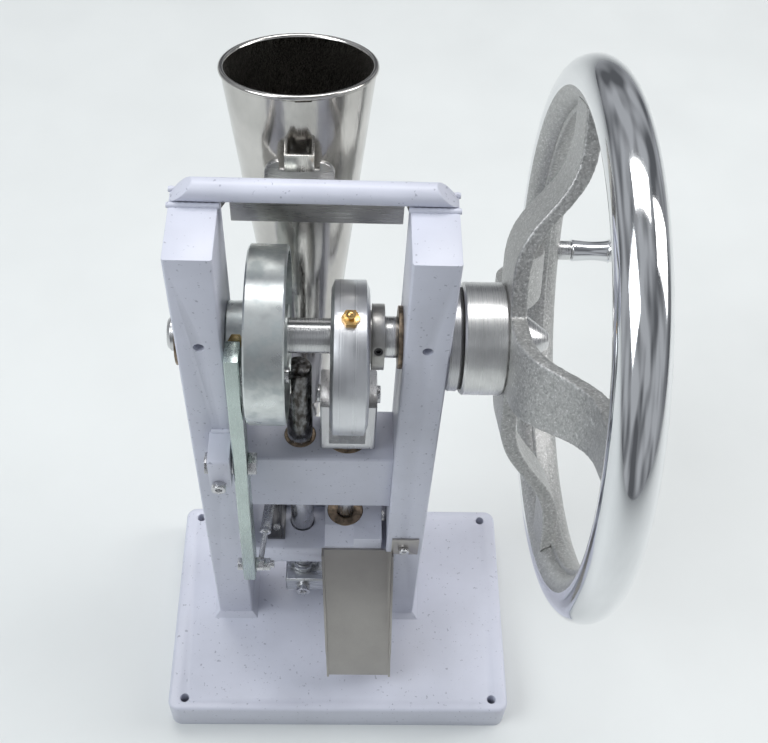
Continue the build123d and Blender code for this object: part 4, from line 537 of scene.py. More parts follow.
def turned_piece(
    name: str, profile: Profile, place: Matrix, segments: int = 128, ring: bool = False
) -> bpy.types.Object:
    """Turn a piece on the lathe: a circle is extruded and resized from point to point.

    Args:
        name: the piece's name.
        profile: (radius, height) points in metres, up the outside.
        place: where the piece goes.
        segments: how many sides the circle has.
        ring: whether the profile closes on itself round a bore.

    Returns:
        The turned piece.
    """
    deselect()
    radius, height = profile[0]
    fill = "NOTHING" if ring else "NGON"
    bpy.ops.mesh.primitive_circle_add(
        vertices=segments, radius=radius, fill_type=fill, location=(0, 0, height)
    )
    piece = bpy.context.object
    bpy.ops.object.mode_set(mode="EDIT")
    bpy.ops.mesh.select_all(action="SELECT")
    steps = profile[1:] + ([profile[0]] if ring else [])
    for next_radius, next_height in steps:
        lift = (0, 0, next_height - height)
        bpy.ops.mesh.extrude_region_move(TRANSFORM_OT_translate={"value": lift})
        factor = next_radius / radius
        if abs(factor - 1) > SAME_SIZE:
            bpy.ops.transform.resize(value=(factor, factor, 1), center_override=(0, 0, next_height))
        radius, height = next_radius, next_height
    bpy.ops.mesh.select_all(action="SELECT")
    bpy.ops.mesh.remove_doubles(threshold=MERGE_REACH)
    bpy.ops.mesh.normals_make_consistent(inside=False)
    bpy.ops.object.mode_set(mode="OBJECT")
    settle(piece, name, place)
    smooth(piece)
    return piece


def ring_profile(bore: float, outer: float, low: float, high: float, edge: float) -> Profile:
    """The profile of a plain ring with small chamfers on its outer edges."""
    return [
        (bore, low),
        (outer - edge, low),
        (outer, low + edge),
        (outer, high - edge),
        (outer - edge, high),
        (bore, high),
    ]


def eased(points: Profile, steps: int = 5) -> Profile:
    """A smooth run of profile points through a few given ones.

    Args:
        points: (radius, height) points.
        steps: how many new points each stretch gets.

    Returns:
        The finer profile.
    """
    run: Profile = []
    for index in range(len(points) - 1):
        before = Vector(points[max(index - 1, 0)])
        start = Vector(points[index])
        end = Vector(points[index + 1])
        after = Vector(points[min(index + 2, len(points) - 1)])
        for step in range(steps):
            t = step / steps
            blend = 2 * start + (end - before) * t
            blend += (2 * before - 5 * start + 4 * end - after) * t**2
            blend += (3 * start - before - 3 * end + after) * t**3
            run.append(tuple(blend / 2))
    return run + [points[-1]]


def copy_of(node: bpy.types.Object, name: str) -> bpy.types.Object:
    """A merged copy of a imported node's mesh, as a new piece."""
    deselect()
    piece = bpy.data.objects.new(name, node.data.copy())
    bpy.context.scene.collection.objects.link(piece)
    piece.data.name = name
    piece.data.materials.clear()
    piece.select_set(True)
    bpy.context.view_layer.objects.active = piece
    bpy.ops.object.mode_set(mode="EDIT")
    bpy.ops.mesh.select_all(action="SELECT")
    bpy.ops.mesh.remove_doubles(threshold=NODE_MERGE_REACH)
    bpy.ops.mesh.customdata_custom_splitnormals_clear()
    bpy.ops.mesh.mark_sharp(clear=True)
    bpy.ops.object.mode_set(mode="OBJECT")
    return piece


def edged_copy(node: bpy.types.Object, name: str, edge: float) -> bpy.types.Object:
    """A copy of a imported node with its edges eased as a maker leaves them.

    Args:
        node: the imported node.
        name: the new piece's name.
        edge: the width of the eased edge, in metres.

    Returns:
        The new piece.
    """
    piece = copy_of(node, name)
    bpy.ops.object.mode_set(mode="EDIT")
    bpy.ops.mesh.select_all(action="SELECT")
    bpy.ops.mesh.dissolve_limited(angle_limit=math.radians(FLAT_ANGLE))
    bpy.ops.object.mode_set(mode="OBJECT")
    limit = math.radians(EDGE_ANGLE)
    apply_modifier(
        piece, "BEVEL", width=edge, segments=2, limit_method="ANGLE", angle_limit=limit
    )
    smooth(piece, 40)
    return piece


class Workshop:
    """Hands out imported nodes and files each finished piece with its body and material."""

    def __init__(self, frame: dict) -> None:
        """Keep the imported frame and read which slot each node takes."""
        self.nodes = frame["nodes"]
        self.shelf = FinishShelf()
        self.slots = {part["node"]: part["material_slot"] for part in frame["record"]["subparts"]}
        self.homes = {
            node: body
            for body, members in frame["record"]["behaviour"]["bodies"].items()
            for node in members
        }

    def dress(self, node: str, finish: Finish) -> None:
        """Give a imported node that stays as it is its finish."""
        self.nodes[node].data.materials.clear()
        self.nodes[node].data.materials.append(self.shelf.take(finish))

    def file(
        self, piece: bpy.types.Object, node: str, *finishes: Finish, stands_in: bool = True
    ) -> None:
        """File a finished piece.

        Args:
            piece: the piece.
            node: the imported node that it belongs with.
            finishes: its finishes, by material slot number.
            stands_in: whether the piece stands for that node.
        """
        if not piece.data.materials:
            for finish in finishes:
                piece.data.materials.append(self.shelf.take(finish))
        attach(piece, self.homes[node])
        if stands_in:
            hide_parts(node)
            self.dress(node, finishes[0])
        LOG.info("%s: %d faces", piece.name, len(piece.data.polygons))

    def edged(self, node: str, edge: float, finish: Finish) -> None:
        """Replace a node by its copy with eased edges."""
        self.file(edged_copy(self.nodes[node], f"{node}_piece", edge), node, finish)

    def ring(
        self, node: str, bore: float, edge: float, finish: Finish, along: Along = Along.X
    ) -> None:
        """Replace a plain ring by a finely turned one of the same size.

        Args:
            node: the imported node.
            bore: the bore's radius.
            edge: the chamfer's width.
            finish: the finish.
            along: the direction of its axis.
        """
        low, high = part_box(node)
        middle = (low + high) / 2
        axis = list(along.value).index(1.0)
        across = (axis + 1) % 3
        outer = (high[across] - low[across]) / 2
        length = high[axis] - low[axis]
        origin = Vector(middle)
        origin[axis] = low[axis]
        profile = ring_profile(bore, outer, 0.0, length, edge)
        piece = turned_piece(f"{node}_piece", profile, axis_place(origin, along), ring=True)
        self.file(piece, node, finish)


PAINT = Paint()
FIBRE = Fibre()
MIRROR = Mirror()
CASTING = RawCasting()
BRIGHT = Brushed("fastener_steel", (0.66, 0.66, 0.67), Along.Z, rough=0.24)
STEEL_X = Brushed("machined_steel_x", (0.60, 0.61, 0.62), Along.X)
STEEL_Y = Brushed("machined_steel_y", (0.60, 0.61, 0.62), Along.Y)
BRONZE = Alloy("bronze", (0.34, 0.26, 0.19), (0.15, 0.12, 0.09), 0.36)
BRASS = Alloy("brass", (0.86, 0.56, 0.22), (0.62, 0.36, 0.12), 0.22)
SHAFT_CENTRE = (0.0, 0.017, 0.3465)
SHAFT_STEEL = Turned("machined_steel", (0.66, 0.66, 0.66), SHAFT_CENTRE, Along.X)
HUB_STEEL = Turned("hub_steel", (0.74, 0.74, 0.73), SHAFT_CENTRE, Along.X, rough=0.3, mottle=0.22)
# The cam's faint green cast is a painted reflection of a green floor. Its blotches are the zinc's
# own bloom.
CAM_ZINC_PAINTED_GREEN_REFLECTION = Mottled("cam_zinc", (0.70, 0.73, 0.72), (0.50, 0.54, 0.54))


@dataclass
class PaintedFrame:
    """The painted base plate, columns, beams and lever bracket, with their welds."""

    edge: float = 0.6 * MM
    base_edge: float = 0.4 * MM
    bead: float = 1.5 * MM
    bead_sides: int = 14
    bead_step: float = 3.2 * MM
    bead_swell: float = 1.22
    bar_bead_end: float = 3.0 * MM
    bar_bead_inset: float = 0.6 * MM
    bracket_bead_end: float = 1.0 * MM
    bracket_bead_inset: float = 0.4 * MM

    def build(self, shop: Workshop) -> None:
        """Ease the painted edges and add the weld beads."""
        columns_and_beams = ("left_column", "right_column", "crossbeam", "die_table")
        for node in columns_and_beams + ("die_block", "lever_bracket"):
            shop.edged(node, self.edge, PAINT)
        shop.edged("base_plate", self.base_edge, PAINT)
        shop.edged("carry_bar", self.edge, PAINT)
        self.bar_welds(shop)
        self.bracket_welds(shop)

    def weld(self, name: str, start: Vector, end: Vector, node: str, shop: Workshop) -> None:
        """Lay one painted weld bead.

        Args:
            name: the bead's name.
            start: where it begins.
            end: where it ends.
            node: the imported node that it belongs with.
            shop: the workshop.
        """
        run = end - start
        count = max(4, round(run.length / self.bead_step))
        step = run.length / count
        deselect()
        bpy.ops.mesh.primitive_circle_add(
            vertices=self.bead_sides, radius=self.bead, fill_type="NGON"
        )
        piece = bpy.context.object
        bpy.ops.object.mode_set(mode="EDIT")
        bpy.ops.mesh.select_all(action="SELECT")
        height = 0.0
        for ripple in range(count * 2):
            height += step / 2
            factor = self.bead_swell if ripple % 2 == 0 else 1 / self.bead_swell
            bpy.ops.mesh.extrude_region_move(TRANSFORM_OT_translate={"value": (0, 0, step / 2)})
            bpy.ops.transform.resize(value=(factor, factor, 1), center_override=(0, 0, height))
        bpy.ops.object.mode_set(mode="OBJECT")
        turn = Vector((0, 0, 1)).rotation_difference(run.normalized()).to_matrix().to_4x4()
        settle(piece, name, Matrix.Translation(start) @ turn)
        smooth(piece, 70)
        shop.file(piece, node, PAINT, stands_in=False)

    def bar_welds(self, shop: Workshop) -> None:
        """Weld the carrying bar to the column tops."""
        low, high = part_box("carry_bar")
        for node in ("left_column", "right_column"):
            column_low, column_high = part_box(node)
            front = low.y + self.bar_bead_inset
            back = high.y - self.bar_bead_inset
            for side, y in (("front", front), ("back", back)):
                start = Vector((column_low.x + self.bar_bead_end, y, column_high.z))
                end = Vector((column_high.x - self.bar_bead_end, y, column_high.z))
                self.weld(f"{node}_bar_weld_{side}", start, end, node, shop)

    def bracket_welds(self, shop: Workshop) -> None:
        """Weld the lever bracket to the left column."""
        low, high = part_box("lever_bracket")
        y = high.y - self.bracket_bead_inset
        for side, z in (("top", high.z), ("bottom", low.z)):
            start = Vector((low.x + self.bracket_bead_end, y, z))
            end = Vector((high.x - self.bracket_bead_end, y, z))
            self.weld(f"lever_bracket_weld_{side}", start, end, "lever_bracket", shop)


@dataclass
class TableTop:
    """The die, the guide strip, the bushes and the small screws of the table."""

    strip_edge: float = 0.5 * MM
    strip_screw_edge: float = 0.25 * MM
    screw_edge: float = 0.3 * MM
    ring_edge: float = 0.5 * MM
    die_bore: float = 6.05 * MM
    ram_bore: float = 11.05 * MM
    lift_bore: float = 8.05 * MM

    def build(self, shop: Workshop) -> None:
        """Dress the pieces on the table and in the cross beam."""
        strip = Brushed("dark_steel", (0.20, 0.20, 0.21), Along.Y, 0.3)
        shop.edged("guide_strip", self.strip_edge, strip)
        shop.edged("guide_strip_screws", self.strip_screw_edge, BRIGHT)
        shop.edged("die_lock_screw", self.screw_edge, BRIGHT)
        shop.edged("socket_screws", self.screw_edge, BRIGHT)
        bores = {"die": self.die_bore, "ram_bush": self.ram_bore, "lift_rod_bush": self.lift_bore}
        for node, bore in bores.items():
            shop.ring(node, bore, self.ring_edge, BRONZE, Along.Z)


@dataclass
class Bearings:
    """The bushes, the flange ring and the thrust washer that carry the shaft."""

    bore: float = 12.0 * MM
    flange_edge: float = 1.0 * MM
    washer_edge: float = 0.1 * MM
    bush_edge: float = 0.3 * MM

    def build(self, shop: Workshop) -> None:
        """Turn the rings and ease the flanged bushes."""
        steel = Turned("flange_steel", (0.50, 0.50, 0.51), SHAFT_CENTRE, Along.X, rough=0.3)
        shop.ring("bearing_flange", self.bore, self.flange_edge, steel)
        shop.ring("thrust_washer", self.bore, self.washer_edge, FIBRE)
        shop.edged("left_bearing_bush", self.bush_edge, BRONZE)
        shop.edged("right_bearing_bush", self.bush_edge, BRONZE)


@dataclass
class CamWheel:
    """The zinc wheel with an eccentric track in each face."""

    bore: float = 10.0 * MM
    hub_radius: float = 19.0 * MM
    hub_width: float = 11.7 * MM
    edge: float = 1.0 * MM
    track_radius: float = 47.5 * MM
    track_depth: float = 7.0 * MM
    lobe: float = 1.5 * MM
    overrun: float = 1.0 * MM
    sides: int = 160
    bolt_edge: float = 0.3 * MM
    left_cam: float = 20.7 * MM
    right_cam: float = 18.4 * MM

    def build(self, shop: Workshop) -> None:
        """Turn the wheel, sink its tracks and dress its bolt."""
        low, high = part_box("cam_wheel")
        centre = (low + high) / 2
        radius = (high.z - low.z) / 2
        left = low.x + self.hub_width
        profile = [
            (self.bore, low.x),
            (self.hub_radius - self.edge / 2, low.x),
            (self.hub_radius, low.x + self.edge / 2),
            (self.hub_radius, left),
            (radius - self.edge, left),
            (radius, left + self.edge),
            (radius, high.x - self.edge),
            (radius - self.edge, high.x),
            (self.bore, high.x),
        ]
        place = axis_place(Vector((0, centre.y, centre.z)), Along.X)
        wheel = turned_piece("cam_wheel_piece", profile, place, segments=self.sides, ring=True)
        left_shift = Vector((0, -self.lobe, 0))
        right_shift = Vector((0, 0, -self.lobe))
        self.sink(wheel, left, self.track_depth, self.left_cam, left_shift, centre)
        self.sink(wheel, high.x, -self.track_depth, self.right_cam, right_shift, centre)
        smooth(wheel)
        shop.file(wheel, "cam_wheel", CAM_ZINC_PAINTED_GREEN_REFLECTION)
        greased = Alloy("greased_bolt", (0.55, 0.42, 0.22), (0.3, 0.2, 0.08), 0.3)
        shop.edged("cam_set_bolt", self.bolt_edge, greased)

    def sink(
        self,
        wheel: bpy.types.Object,
        face_x: float,
        depth: float,
        cam: float,
        shift: Vector,
        centre: Vector,
    ) -> None:
        """Cut one track: a ring between a round wall and an eccentric cam.

        Args:
            wheel: the wheel.
            face_x: the face that the track is cut into.
            depth: how deep, towards +X.
            cam: the inner cam's radius.
            shift: how far the cam stands off the wheel's axis.
            centre: the wheel's centre.
        """
        deselect()
        overrun = math.copysign(self.overrun, depth)
        start = face_x - overrun
        bpy.ops.mesh.primitive_circle_add(vertices=self.sides, radius=self.track_radius)
        cutter = bpy.context.object
        bpy.ops.object.mode_set(mode="EDIT")
        place = (-shift.z, shift.y, 0)
        bpy.ops.mesh.primitive_circle_add(vertices=self.sides, radius=cam, location=place)
        bpy.ops.mesh.select_all(action="SELECT")
        bpy.ops.mesh.bridge_edge_loops()
        bpy.ops.mesh.select_all(action="SELECT")
        bpy.ops.mesh.extrude_region_move(TRANSFORM_OT_translate={"value": (0, 0, depth + overrun)})
        bpy.ops.mesh.select_all(action="SELECT")
        bpy.ops.mesh.normals_make_consistent(inside=False)
        bpy.ops.object.mode_set(mode="OBJECT")
        settle(cutter, "track_cutter", axis_place(Vector((start, centre.y, centre.z)), Along.X))
        apply_modifier(wheel, "BOOLEAN", operation="DIFFERENCE", object=cutter, solver="EXACT")
        bpy.data.objects.remove(cutter)


@dataclass
class Crankshaft:
    """The shaft, its keys, the eccentric with its collar and the spacer."""

    shaft_edge: float = 0.2 * MM
    collar_edge: float = 0.4 * MM
    screw_edge: float = 0.15 * MM

    def build(self, shop: Workshop) -> None:
        """Ease the edges of the shaft and of all that is keyed or screwed to it."""
        collar = Turned("collar_steel", (0.5, 0.49, 0.47), SHAFT_CENTRE, Along.X, 0.34, 0.4)
        blacked = Brushed("blacked_screw", (0.12, 0.12, 0.12), Along.Z, 0.4)
        shop.edged("main_shaft", self.shaft_edge, SHAFT_STEEL)
        shop.edged("eccentric_disc", self.collar_edge, collar)
        shop.edged("shaft_spacer", self.collar_edge, SHAFT_STEEL)
        shop.edged("shaft_keys", self.shaft_edge, STEEL_X)
        shop.edged("shaft_grub_screws", self.screw_edge, blacked)


@dataclass
class Strap:
    """The strap round the eccentric, with its lug and brass nipple."""

    centre: tuple[float, float, float] = (0.0, 0.0074164, 0.3392782)
    edge: float = 0.5 * MM
    nipple_edge: float = 0.3 * MM

    def build(self, shop: Workshop) -> None:
        """Ease the strap's edges and dress the nipple."""
        steel = Turned("strap_steel", (0.72, 0.73, 0.75), self.centre, Along.X, 0.33, 0.1)
        shop.edged("eccentric_strap", self.edge, steel)
        shop.edged("grease_nipple", self.nipple_edge, BRASS)


@dataclass
class Ram:
    """The ram with its fork and the upper punch."""

    fork_edge: float = 0.7 * MM
    edge: float = 0.3 * MM
    small_edge: float = 0.1 * MM

    def build(self, shop: Workshop) -> None:
        """Ease the fork's edges and dress the punch and the screws."""
        steel = Brushed("ram_steel", (0.62, 0.62, 0.63), Along.Z, 0.3)
        shop.edged("ram", self.fork_edge, steel)
        shop.edged("fork_screws", self.edge, BRIGHT)
        shop.edged("upper_punch", self.edge, BRIGHT)
        shop.edged("punch_screw", self.small_edge, BRIGHT)


@dataclass
class Lift:
    """The lift rod with its roller, nuts and yoke, and the lower punch."""

    line_z: float = 250.0 * MM
    edge: float = 0.3 * MM
    round_edge: float = 0.4 * MM
    yoke_edge: float = 0.6 * MM

    def build(self, shop: Workshop) -> None:
        """Dress the rod with its grease line and ease the rest."""
        rod = GreasedRod("lift_rod_steel", (0.66, 0.66, 0.67), self.line_z)
        shop.edged("lift_rod", self.edge, rod)
        shop.edged("lift_roller", self.round_edge, BRIGHT)
        shop.edged("yoke", self.yoke_edge, STEEL_X)
        shop.edged("yoke_screws", self.edge, BRIGHT)
        shop.edged("lift_nuts", self.round_edge, STEEL_X)
        shop.edged("lower_punch", self.edge, BRIGHT)


@dataclass
class FeedGear:
    """The lever, its pivot and roller, the link and the feed shoe."""

    edge: float = 0.5 * MM
    pin_edge: float = 0.3 * MM

    def build(self, shop: Workshop) -> None:
        """Ease and dress the feed gear."""
        # The lever's green tint is a painted reflection of a green floor on bright steel.
        lever = Brushed("lever_steel", (0.55, 0.63, 0.60), Along.Z, 0.26)
        shop.edged("feed_lever", self.edge, lever)
        bright = (
            "lever_pivot_bolt",
            "lever_roller",
            "foot_bolt",
            "shoe_pivot_pin",
            "shoe_tail_pin",
            "lever_roller_pin",
            "link_rod",
            "link_nut",
        )
        for node in bright:
            shop.edged(node, self.pin_edge, BRIGHT)
        shop.edged("feed_shoe", self.edge, STEEL_Y)


@dataclass
class Hopper:
    """The leaning sheet hopper with its lapped seam, wired rim, spout, hook and bracket."""

    cross: tuple[float, float, float] = (-24.5 * MM, 52.0 * MM, 176.0 * MM)
    lean: float = 16.3
    side_lean: float = 1.0
    start: float = 49.0 * MM
    length: float = 230.0 * MM
    low_radius: float = 12.7 * MM
    top_radius: float = 43.0 * MM
    wall: float = 1.2 * MM
    neck: float = 9.2 * MM
    shoulder: float = 7.0 * MM
    sleeve: float = 8.0 * MM
    wire: float = 1.7 * MM
    seam_width: float = 9.0 * MM
    seam_thick: float = 1.0 * MM
    seam_turn: float = 5.3
    seam_start: float = 0.5 * MM
    sides: int = 180
    spout_edge: float = 0.2 * MM
    hook_edge: float = 0.3 * MM
    bracket_edge: float = 0.5 * MM

    def axis(self) -> Matrix:
        """The hopper's own frame, with Z up its axis and its origin at the cone's lower end."""
        lean = Matrix.Rotation(math.radians(-self.lean), 4, "X")
        side = Matrix.Rotation(math.radians(-self.side_lean), 4, "Y")
        return Matrix.Translation(self.cross) @ lean @ side @ Matrix.Translation((0, 0, self.start))

    def cone_profile(self) -> Profile:
        """The sheet's profile, down the inside and up the outside, with the rim's rolled wire."""
        top = self.length
        wire = [
            (
                self.top_radius + self.wire * math.cos(math.radians(turn)),
                top + self.wire * math.sin(math.radians(turn)),
            )
            for turn in range(-75, 200, 25)
        ]
        inside = [
            (self.top_radius - self.wall, top - self.wire),
            (self.low_radius - self.wall, 0.0),
            (self.neck - self.wall, -self.shoulder),
            (self.neck - self.wall, -self.shoulder - self.sleeve),
        ]
        outside = [
            (self.neck, -self.shoulder - self.sleeve),
            (self.neck, -self.shoulder),
            (self.low_radius, 0.0),
        ]
        return outside + wire + inside

    def build(self, shop: Workshop) -> None:
        """Turn the cone, lap its seam and dress what holds it."""
        sheet = Brushed("stainless_sheet", (0.66, 0.64, 0.61), Along.Z, rough=0.14, stain=0.25)
        hook = Brushed("hook_steel", (0.74, 0.72, 0.68), Along.Z, 0.18)
        # The bracket's darker grey is painted shade from the carrying bar above it. It is the same
        # stainless as the hopper sheet.
        bracket = Brushed("bracket_steel_painted_shade", (0.46, 0.45, 0.44), Along.X, 0.28)
        upright = Matrix.Identity(4)
        cone = turned_piece("hopper_piece", self.cone_profile(), upright, self.sides, ring=True)
        self.lap_seam(cone)
        settle(cone, "hopper_piece", self.axis())
        smooth(cone, 40)
        shop.file(cone, "hopper", sheet)
        shop.edged("hopper_spout", self.spout_edge, sheet)
        shop.edged("hopper_hook", self.hook_edge, hook)
        shop.edged("hopper_bracket", self.bracket_edge, bracket)

    def lap_seam(self, cone: bpy.types.Object) -> None:
        """Cut the outer sheet along two lines and raise the strip between them.

        Args:
            cone: the cone, in its own frame.
        """
        turn = Matrix.Rotation(math.radians(self.seam_turn), 3, "Z")
        side = turn @ Vector((1, 0, 0))
        front = turn @ Vector((0, -1, 0))
        half = self.seam_width / 2
        deselect()
        cone.select_set(True)
        bpy.context.view_layer.objects.active = cone
        bpy.ops.object.mode_set(mode="EDIT")
        for place in (-half, half):
            bpy.ops.mesh.select_all(action="SELECT")
            bpy.ops.mesh.bisect(plane_co=side * place, plane_no=side)
        bpy.ops.mesh.select_all(action="DESELECT")
        bpy.ops.object.mode_set(mode="OBJECT")
        for face in cone.data.polygons:
            spot = face.center
            on_cone = self.seam_start < spot.z < self.length - self.wire
            outward = face.normal.dot(front) > 0.5
            face.select = on_cone and outward and abs(spot.dot(side)) < half and spot.dot(front) > 0
        bpy.ops.object.mode_set(mode="EDIT")
        bpy.ops.mesh.extrude_region_shrink_fatten(
            TRANSFORM_OT_shrink_fatten={"value": self.seam_thick}
        )
        bpy.ops.object.mode_set(mode="OBJECT")


@dataclass
class Chute:
    """The folded discharge chute and its screws."""

    edge: float = 0.25 * MM

    def build(self, shop: Workshop) -> None:
        """Ease the sheet's edges and dress the screws."""
        sheet = Brushed("chute_sheet", (0.42, 0.40, 0.38), Along.Z, 0.34, 0.12)
        shop.edged("discharge_chute", self.edge, sheet)
        shop.edged("chute_screws", self.edge, BRIGHT)


@dataclass
class Handwheel:
    """The dished wheel: machined hub, cast spider with a wavy finger web, chromed rim, cone nut."""

    rim_x: float = 130.3 * MM
    rim_radius: float = 144.5 * MM
    tube: float = 13.5 * MM
    web_radius: float = 128.5 * MM
    web_wave: float = 2.5 * MM
    waves: int = 28
    steps: int = 20
    web_left: float = 126.0 * MM
    web_right: float = 135.0 * MM
    web_edge: float = 1.6 * MM
    web_root_share: float = 0.8
    chrome_share: float = -0.30
    hub_bore: float = 10.0 * MM
    hub_edge: float = 1.2 * MM
    grain: float = 1.1 * MM

    def build(self, shop: Workshop) -> None:
        """Build the wheel from its hub out."""
        shop.ring("wheel_hub", self.hub_bore, self.hub_edge, HUB_STEEL)
        self.cone_nut(shop)
        self.rim(shop)
        self.web(shop)
        self.spider(shop)

    def place(self, x: float) -> Matrix:
        """The wheel's own frame at a place along the shaft."""
        return axis_place(Vector((x, SHAFT_CENTRE[1], SHAFT_CENTRE[2])), Along.X)

    def cone_nut(self, shop: Workshop) -> None:
        """Turn the cone nut with a rounded nose."""
        low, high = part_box("cone_nut")
        base = (high.y - low.y) / 2
        length = high.x - low.x
        profile = [
            (base - 0.6 * MM, 0.0),
            (base, 0.8 * MM),
            (base * 0.985, 1.6 * MM),
            (4.8 * MM, length - 1.0 * MM),
            (3.9 * MM, length - 0.25 * MM),
            (2.4 * MM, length),
        ]
        nut = turned_piece("cone_nut_piece", profile, self.place(low.x))
        shop.file(nut, "cone_nut", SHAFT_STEEL)

    def rim(self, shop: Workshop) -> None:
        """Shape the rim tube: chrome outside, left as cast towards the hub."""
        deselect()
        bpy.ops.mesh.primitive_torus_add(
            major_segments=224,
            minor_segments=48,
            major_radius=self.rim_radius,
            minor_radius=self.tube,
        )
        rim = bpy.context.object
        for finish in (MIRROR, CASTING):
            rim.data.materials.append(shop.shelf.take(finish))
        for face in rim.data.polygons:
            reach = math.hypot(face.center.x, face.center.y)
            if (reach - self.rim_radius) / self.tube < self.chrome_share:
                face.material_index = 1
        settle(rim, "handwheel_rim_piece", self.place(self.rim_x))
        smooth(rim, 60)
        shop.file(rim, "handwheel_rim", MIRROR)

    def web(self, shop: Workshop) -> None:
        """Cut the wavy finger web inside the rim."""
        deselect()
        count = self.waves * self.steps
        bpy.ops.mesh.primitive_circle_add(vertices=count, radius=self.web_radius)
        web = bpy.context.object
        step = 2 * math.pi / count
        for phase in range(self.steps):
            swing = self.web_wave * math.sin(2 * math.pi * phase / self.steps)
            for vertex in web.data.vertices:
                turn = round(math.atan2(vertex.co.y, vertex.co.x) / step) % self.steps
                vertex.select = turn == phase
            factor = (self.web_radius + swing) / self.web_radius
            bpy.ops.object.mode_set(mode="EDIT")
            bpy.ops.transform.resize(value=(factor, factor, 1), center_override=(0, 0, 0))
            bpy.ops.object.mode_set(mode="OBJECT")
        bpy.ops.object.mode_set(mode="EDIT")
        bpy.ops.mesh.select_all(action="SELECT")
        thick = self.web_right - self.web_left
        bpy.ops.mesh.extrude_region_move(TRANSFORM_OT_translate={"value": (0, 0, thick)})
        outer = (self.rim_radius - self.tube * self.web_root_share) / self.web_radius
        bpy.ops.mesh.extrude_region_move(TRANSFORM_OT_translate={"value": (0, 0, 0)})
        bpy.ops.transform.resize(value=(outer, outer, 1), center_override=(0, 0, thick))
        bpy.ops.mesh.extrude_region_move(TRANSFORM_OT_translate={"value": (0, 0, -thick)})
        bpy.ops.mesh.select_all(action="DESELECT")
        bpy.ops.mesh.select_non_manifold()
        bpy.ops.mesh.bridge_edge_loops()
        bpy.ops.mesh.select_all(action="SELECT")
        bpy.ops.mesh.normals_make_consistent(inside=False)
        bpy.ops.object.mode_set(mode="OBJECT")
        limit = math.radians(60)
        apply_modifier(
            web, "BEVEL", width=self.web_edge, segments=3, limit_method="ANGLE", angle_limit=limit
        )
        settle(web, "finger_web", self.place(self.web_left))
        smooth(web, 50)
        shop.file(web, "handwheel_rim", CASTING, stands_in=False)

    def spider(self, shop: Workshop) -> None:
        """Give the cast hub and spokes their soft, uneven skin."""
        spider = copy_of(shop.nodes["handwheel_spider"], "handwheel_spider_piece")
        spider.data.remesh_voxel_size = self.grain
        bpy.ops.object.voxel_remesh()
        apply_modifier(spider, "SMOOTH", factor=0.5, iterations=6)
        smooth(spider, 70)
        shop.file(spider, "handwheel_spider", CASTING)


@dataclass
class CrankHandle:
    """The chromed grip that turns on a spindle in the rim."""

    collar_edge: float = 0.4 * MM

    def build(self, shop: Workshop) -> None:
        """Turn the waisted grip and ease the spindle's collar."""
        low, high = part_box("handle_grip")
        middle = (low + high) / 2
        length = high.x - low.x
        points = [
            (6.6, 0.0),
            (7.4, 0.018),
            (7.15, 0.07),
            (6.5, 0.2),
            (6.6, 0.3),
            (7.3, 0.4),
            (8.2, 0.42),
            (7.3, 0.44),
            (8.3, 0.56),
            (9.2, 0.74),
            (8.9, 0.85),
            (7.6, 0.93),
            (5.2, 0.985),
            (3.0, 1.0),
        ]
        run = eased([(radius * MM, share * length) for radius, share in points])
        place = axis_place(Vector((low.x, middle.y, middle.z)), Along.X)
        grip = turned_piece("handle_grip_piece", run, place, segments=72)
        shop.file(grip, "handle_grip", MIRROR)
        steel = Turned("spindle_steel", (0.70, 0.70, 0.70), tuple(middle), Along.X, 0.2)
        shop.edged("handle_spindle", self.collar_edge, steel)


@dataclass(frozen=True)
class Lamp:
    """One soft rectangular lamp."""

    name: str
    place: tuple[float, float, float]
    aim: tuple[float, float, float]
    size: tuple[float, float]
    power: float
    colour: RGB = (1.0, 1.0, 1.0)

    def build(self) -> None:
        """Hang the lamp and aim it."""
        light = bpy.data.lights.new(self.name, "AREA")
        light.shape = "RECTANGLE"
        light.size, light.size_y = self.size
        light.energy = self.power
        light.color = self.colour
        lamp = bpy.data.objects.new(self.name, light)
        bpy.context.scene.collection.objects.link(lamp)
        lamp.location = self.place
        beam = Vector(self.aim) - Vector(self.place)
        lamp.rotation_euler = beam.to_track_quat("-Z", "Y").to_euler()


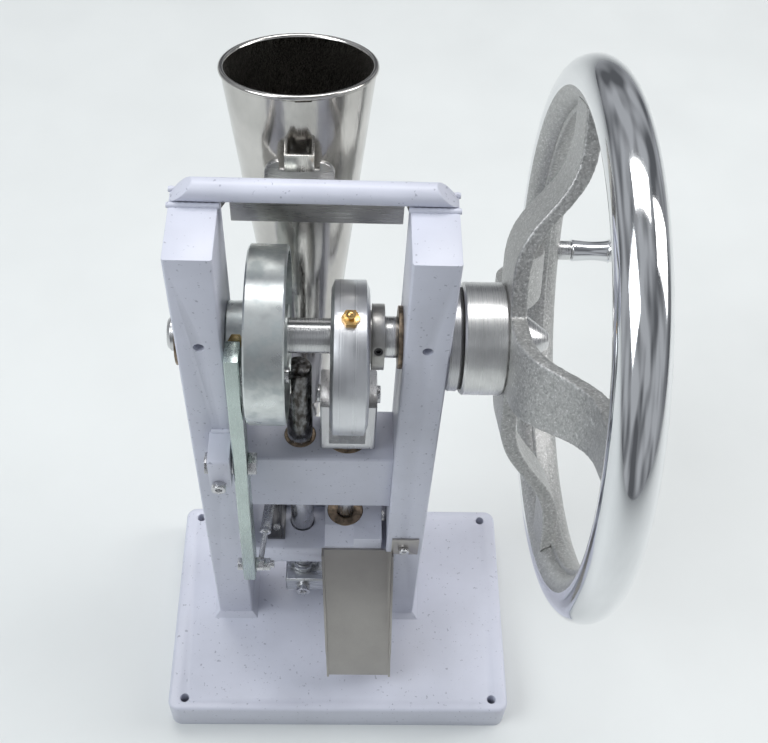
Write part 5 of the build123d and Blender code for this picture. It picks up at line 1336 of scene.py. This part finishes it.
@dataclass
class Studio:
    """The floor, the lamps, the pale surroundings and the camera."""

    eye: tuple[float, float, float] = (-4.75 * MM, -384.6 * MM, 861.2 * MM)
    yaw: float = 3.85
    pitch: float = 53.69
    roll: float = 4.09
    lens: float = 54.2
    floor_size: float = 6.0
    floor_colour: RGB = (0.74, 0.76, 0.75)
    sky: RGB = (0.80, 0.83, 0.88)
    sky_dark: RGB = (0.20, 0.21, 0.23)
    sky_patches: float = 2.2
    sky_strength: float = 0.55
    lamps: tuple[Lamp, ...] = (
        Lamp("window_left", (-1.5, -0.5, 1.9), (0, 0, 0.25), (1.3, 1.3), 26.0, (0.93, 0.97, 1.0)),
        Lamp("window_right", (1.9, 0.3, 1.5), (0.05, 0, 0.3), (0.9, 1.6), 22.0),
        Lamp("ceiling", (0.1, 0.7, 2.3), (0, 0, 0.2), (1.8, 0.7), 24.0),
    )

    def build(self) -> None:
        """Set everything up round the press."""
        self.floor()
        self.world()
        for lamp in self.lamps:
            lamp.build()
        self.camera()
        bpy.context.scene.view_settings.view_transform = "Standard"

    def floor(self) -> None:
        """Lay a pale painted floor under the base plate."""
        deselect()
        bpy.ops.mesh.primitive_plane_add(size=self.floor_size, location=(0, 0, 0))
        floor = bpy.context.object
        floor.name = "floor"
        sheet = NodeSheet("floor_paint")
        cloud = sheet.noise(sheet.coords, 9.0, 6.0)
        worn = shade(self.floor_colour, 0.96)
        sheet.colour(sheet.ramp(cloud, (0.3, worn), (0.7, self.floor_colour)))
        sheet.roughness(sheet.level(cloud, 0.45, 0.6))
        floor.data.materials.append(sheet.material)

    def world(self) -> None:
        """Surround the press with slow, cloudy patches of light and dark."""
        world = bpy.data.worlds.new("surroundings")
        bpy.context.scene.world = world
        world.use_nodes = True
        tree = world.node_tree
        background = tree.nodes["Background"]
        coords = tree.nodes.new("ShaderNodeTexCoord")
        waves = tree.nodes.new("ShaderNodeTexNoise")
        waves.inputs["Scale"].default_value = self.sky_patches
        waves.inputs["Detail"].default_value = 1.0
        ramp = tree.nodes.new("ShaderNodeValToRGB")
        ramp.color_ramp.elements[0].position = 0.38
        ramp.color_ramp.elements[0].color = (*self.sky_dark, 1.0)
        ramp.color_ramp.elements[1].position = 0.6
        ramp.color_ramp.elements[1].color = (*self.sky, 1.0)
        tree.links.new(coords.outputs["Generated"], waves.inputs["Vector"])
        tree.links.new(waves.outputs["Fac"], ramp.inputs["Fac"])
        tree.links.new(ramp.outputs["Color"], background.inputs["Color"])
        background.inputs["Strength"].default_value = self.sky_strength

    def camera(self) -> None:
        """Stand the camera where the photograph was taken from."""
        lens = bpy.data.cameras.new("camera")
        lens.lens = self.lens
        lens.sensor_width = 36.0
        lens.clip_start = 0.01
        camera = bpy.data.objects.new("camera", lens)
        bpy.context.scene.collection.objects.link(camera)
        turn = Matrix.Rotation(math.radians(-self.yaw), 4, "Z")
        tilt = Matrix.Rotation(math.radians(90 - self.pitch), 4, "X")
        lean = Matrix.Rotation(math.radians(self.roll), 4, "Z")
        camera.matrix_world = Matrix.Translation(self.eye) @ turn @ tilt @ lean
        bpy.context.scene.camera = camera


def main() -> None:
    """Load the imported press, dress it and light it."""
    logging.basicConfig(level=logging.INFO, format="%(message)s")
    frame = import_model()
    shop = Workshop(frame)
    assemblies = (
        PaintedFrame(),
        TableTop(),
        Bearings(),
        Crankshaft(),
        CamWheel(),
        Strap(),
        Ram(),
        Lift(),
        FeedGear(),
        Hopper(),
        Chute(),
        Handwheel(),
        CrankHandle(),
    )
    for assembly in assemblies:
        assembly.build(shop)
        LOG.info("built %s", type(assembly).__name__)
    Studio().build()


if __name__ == "__main__":
    main()
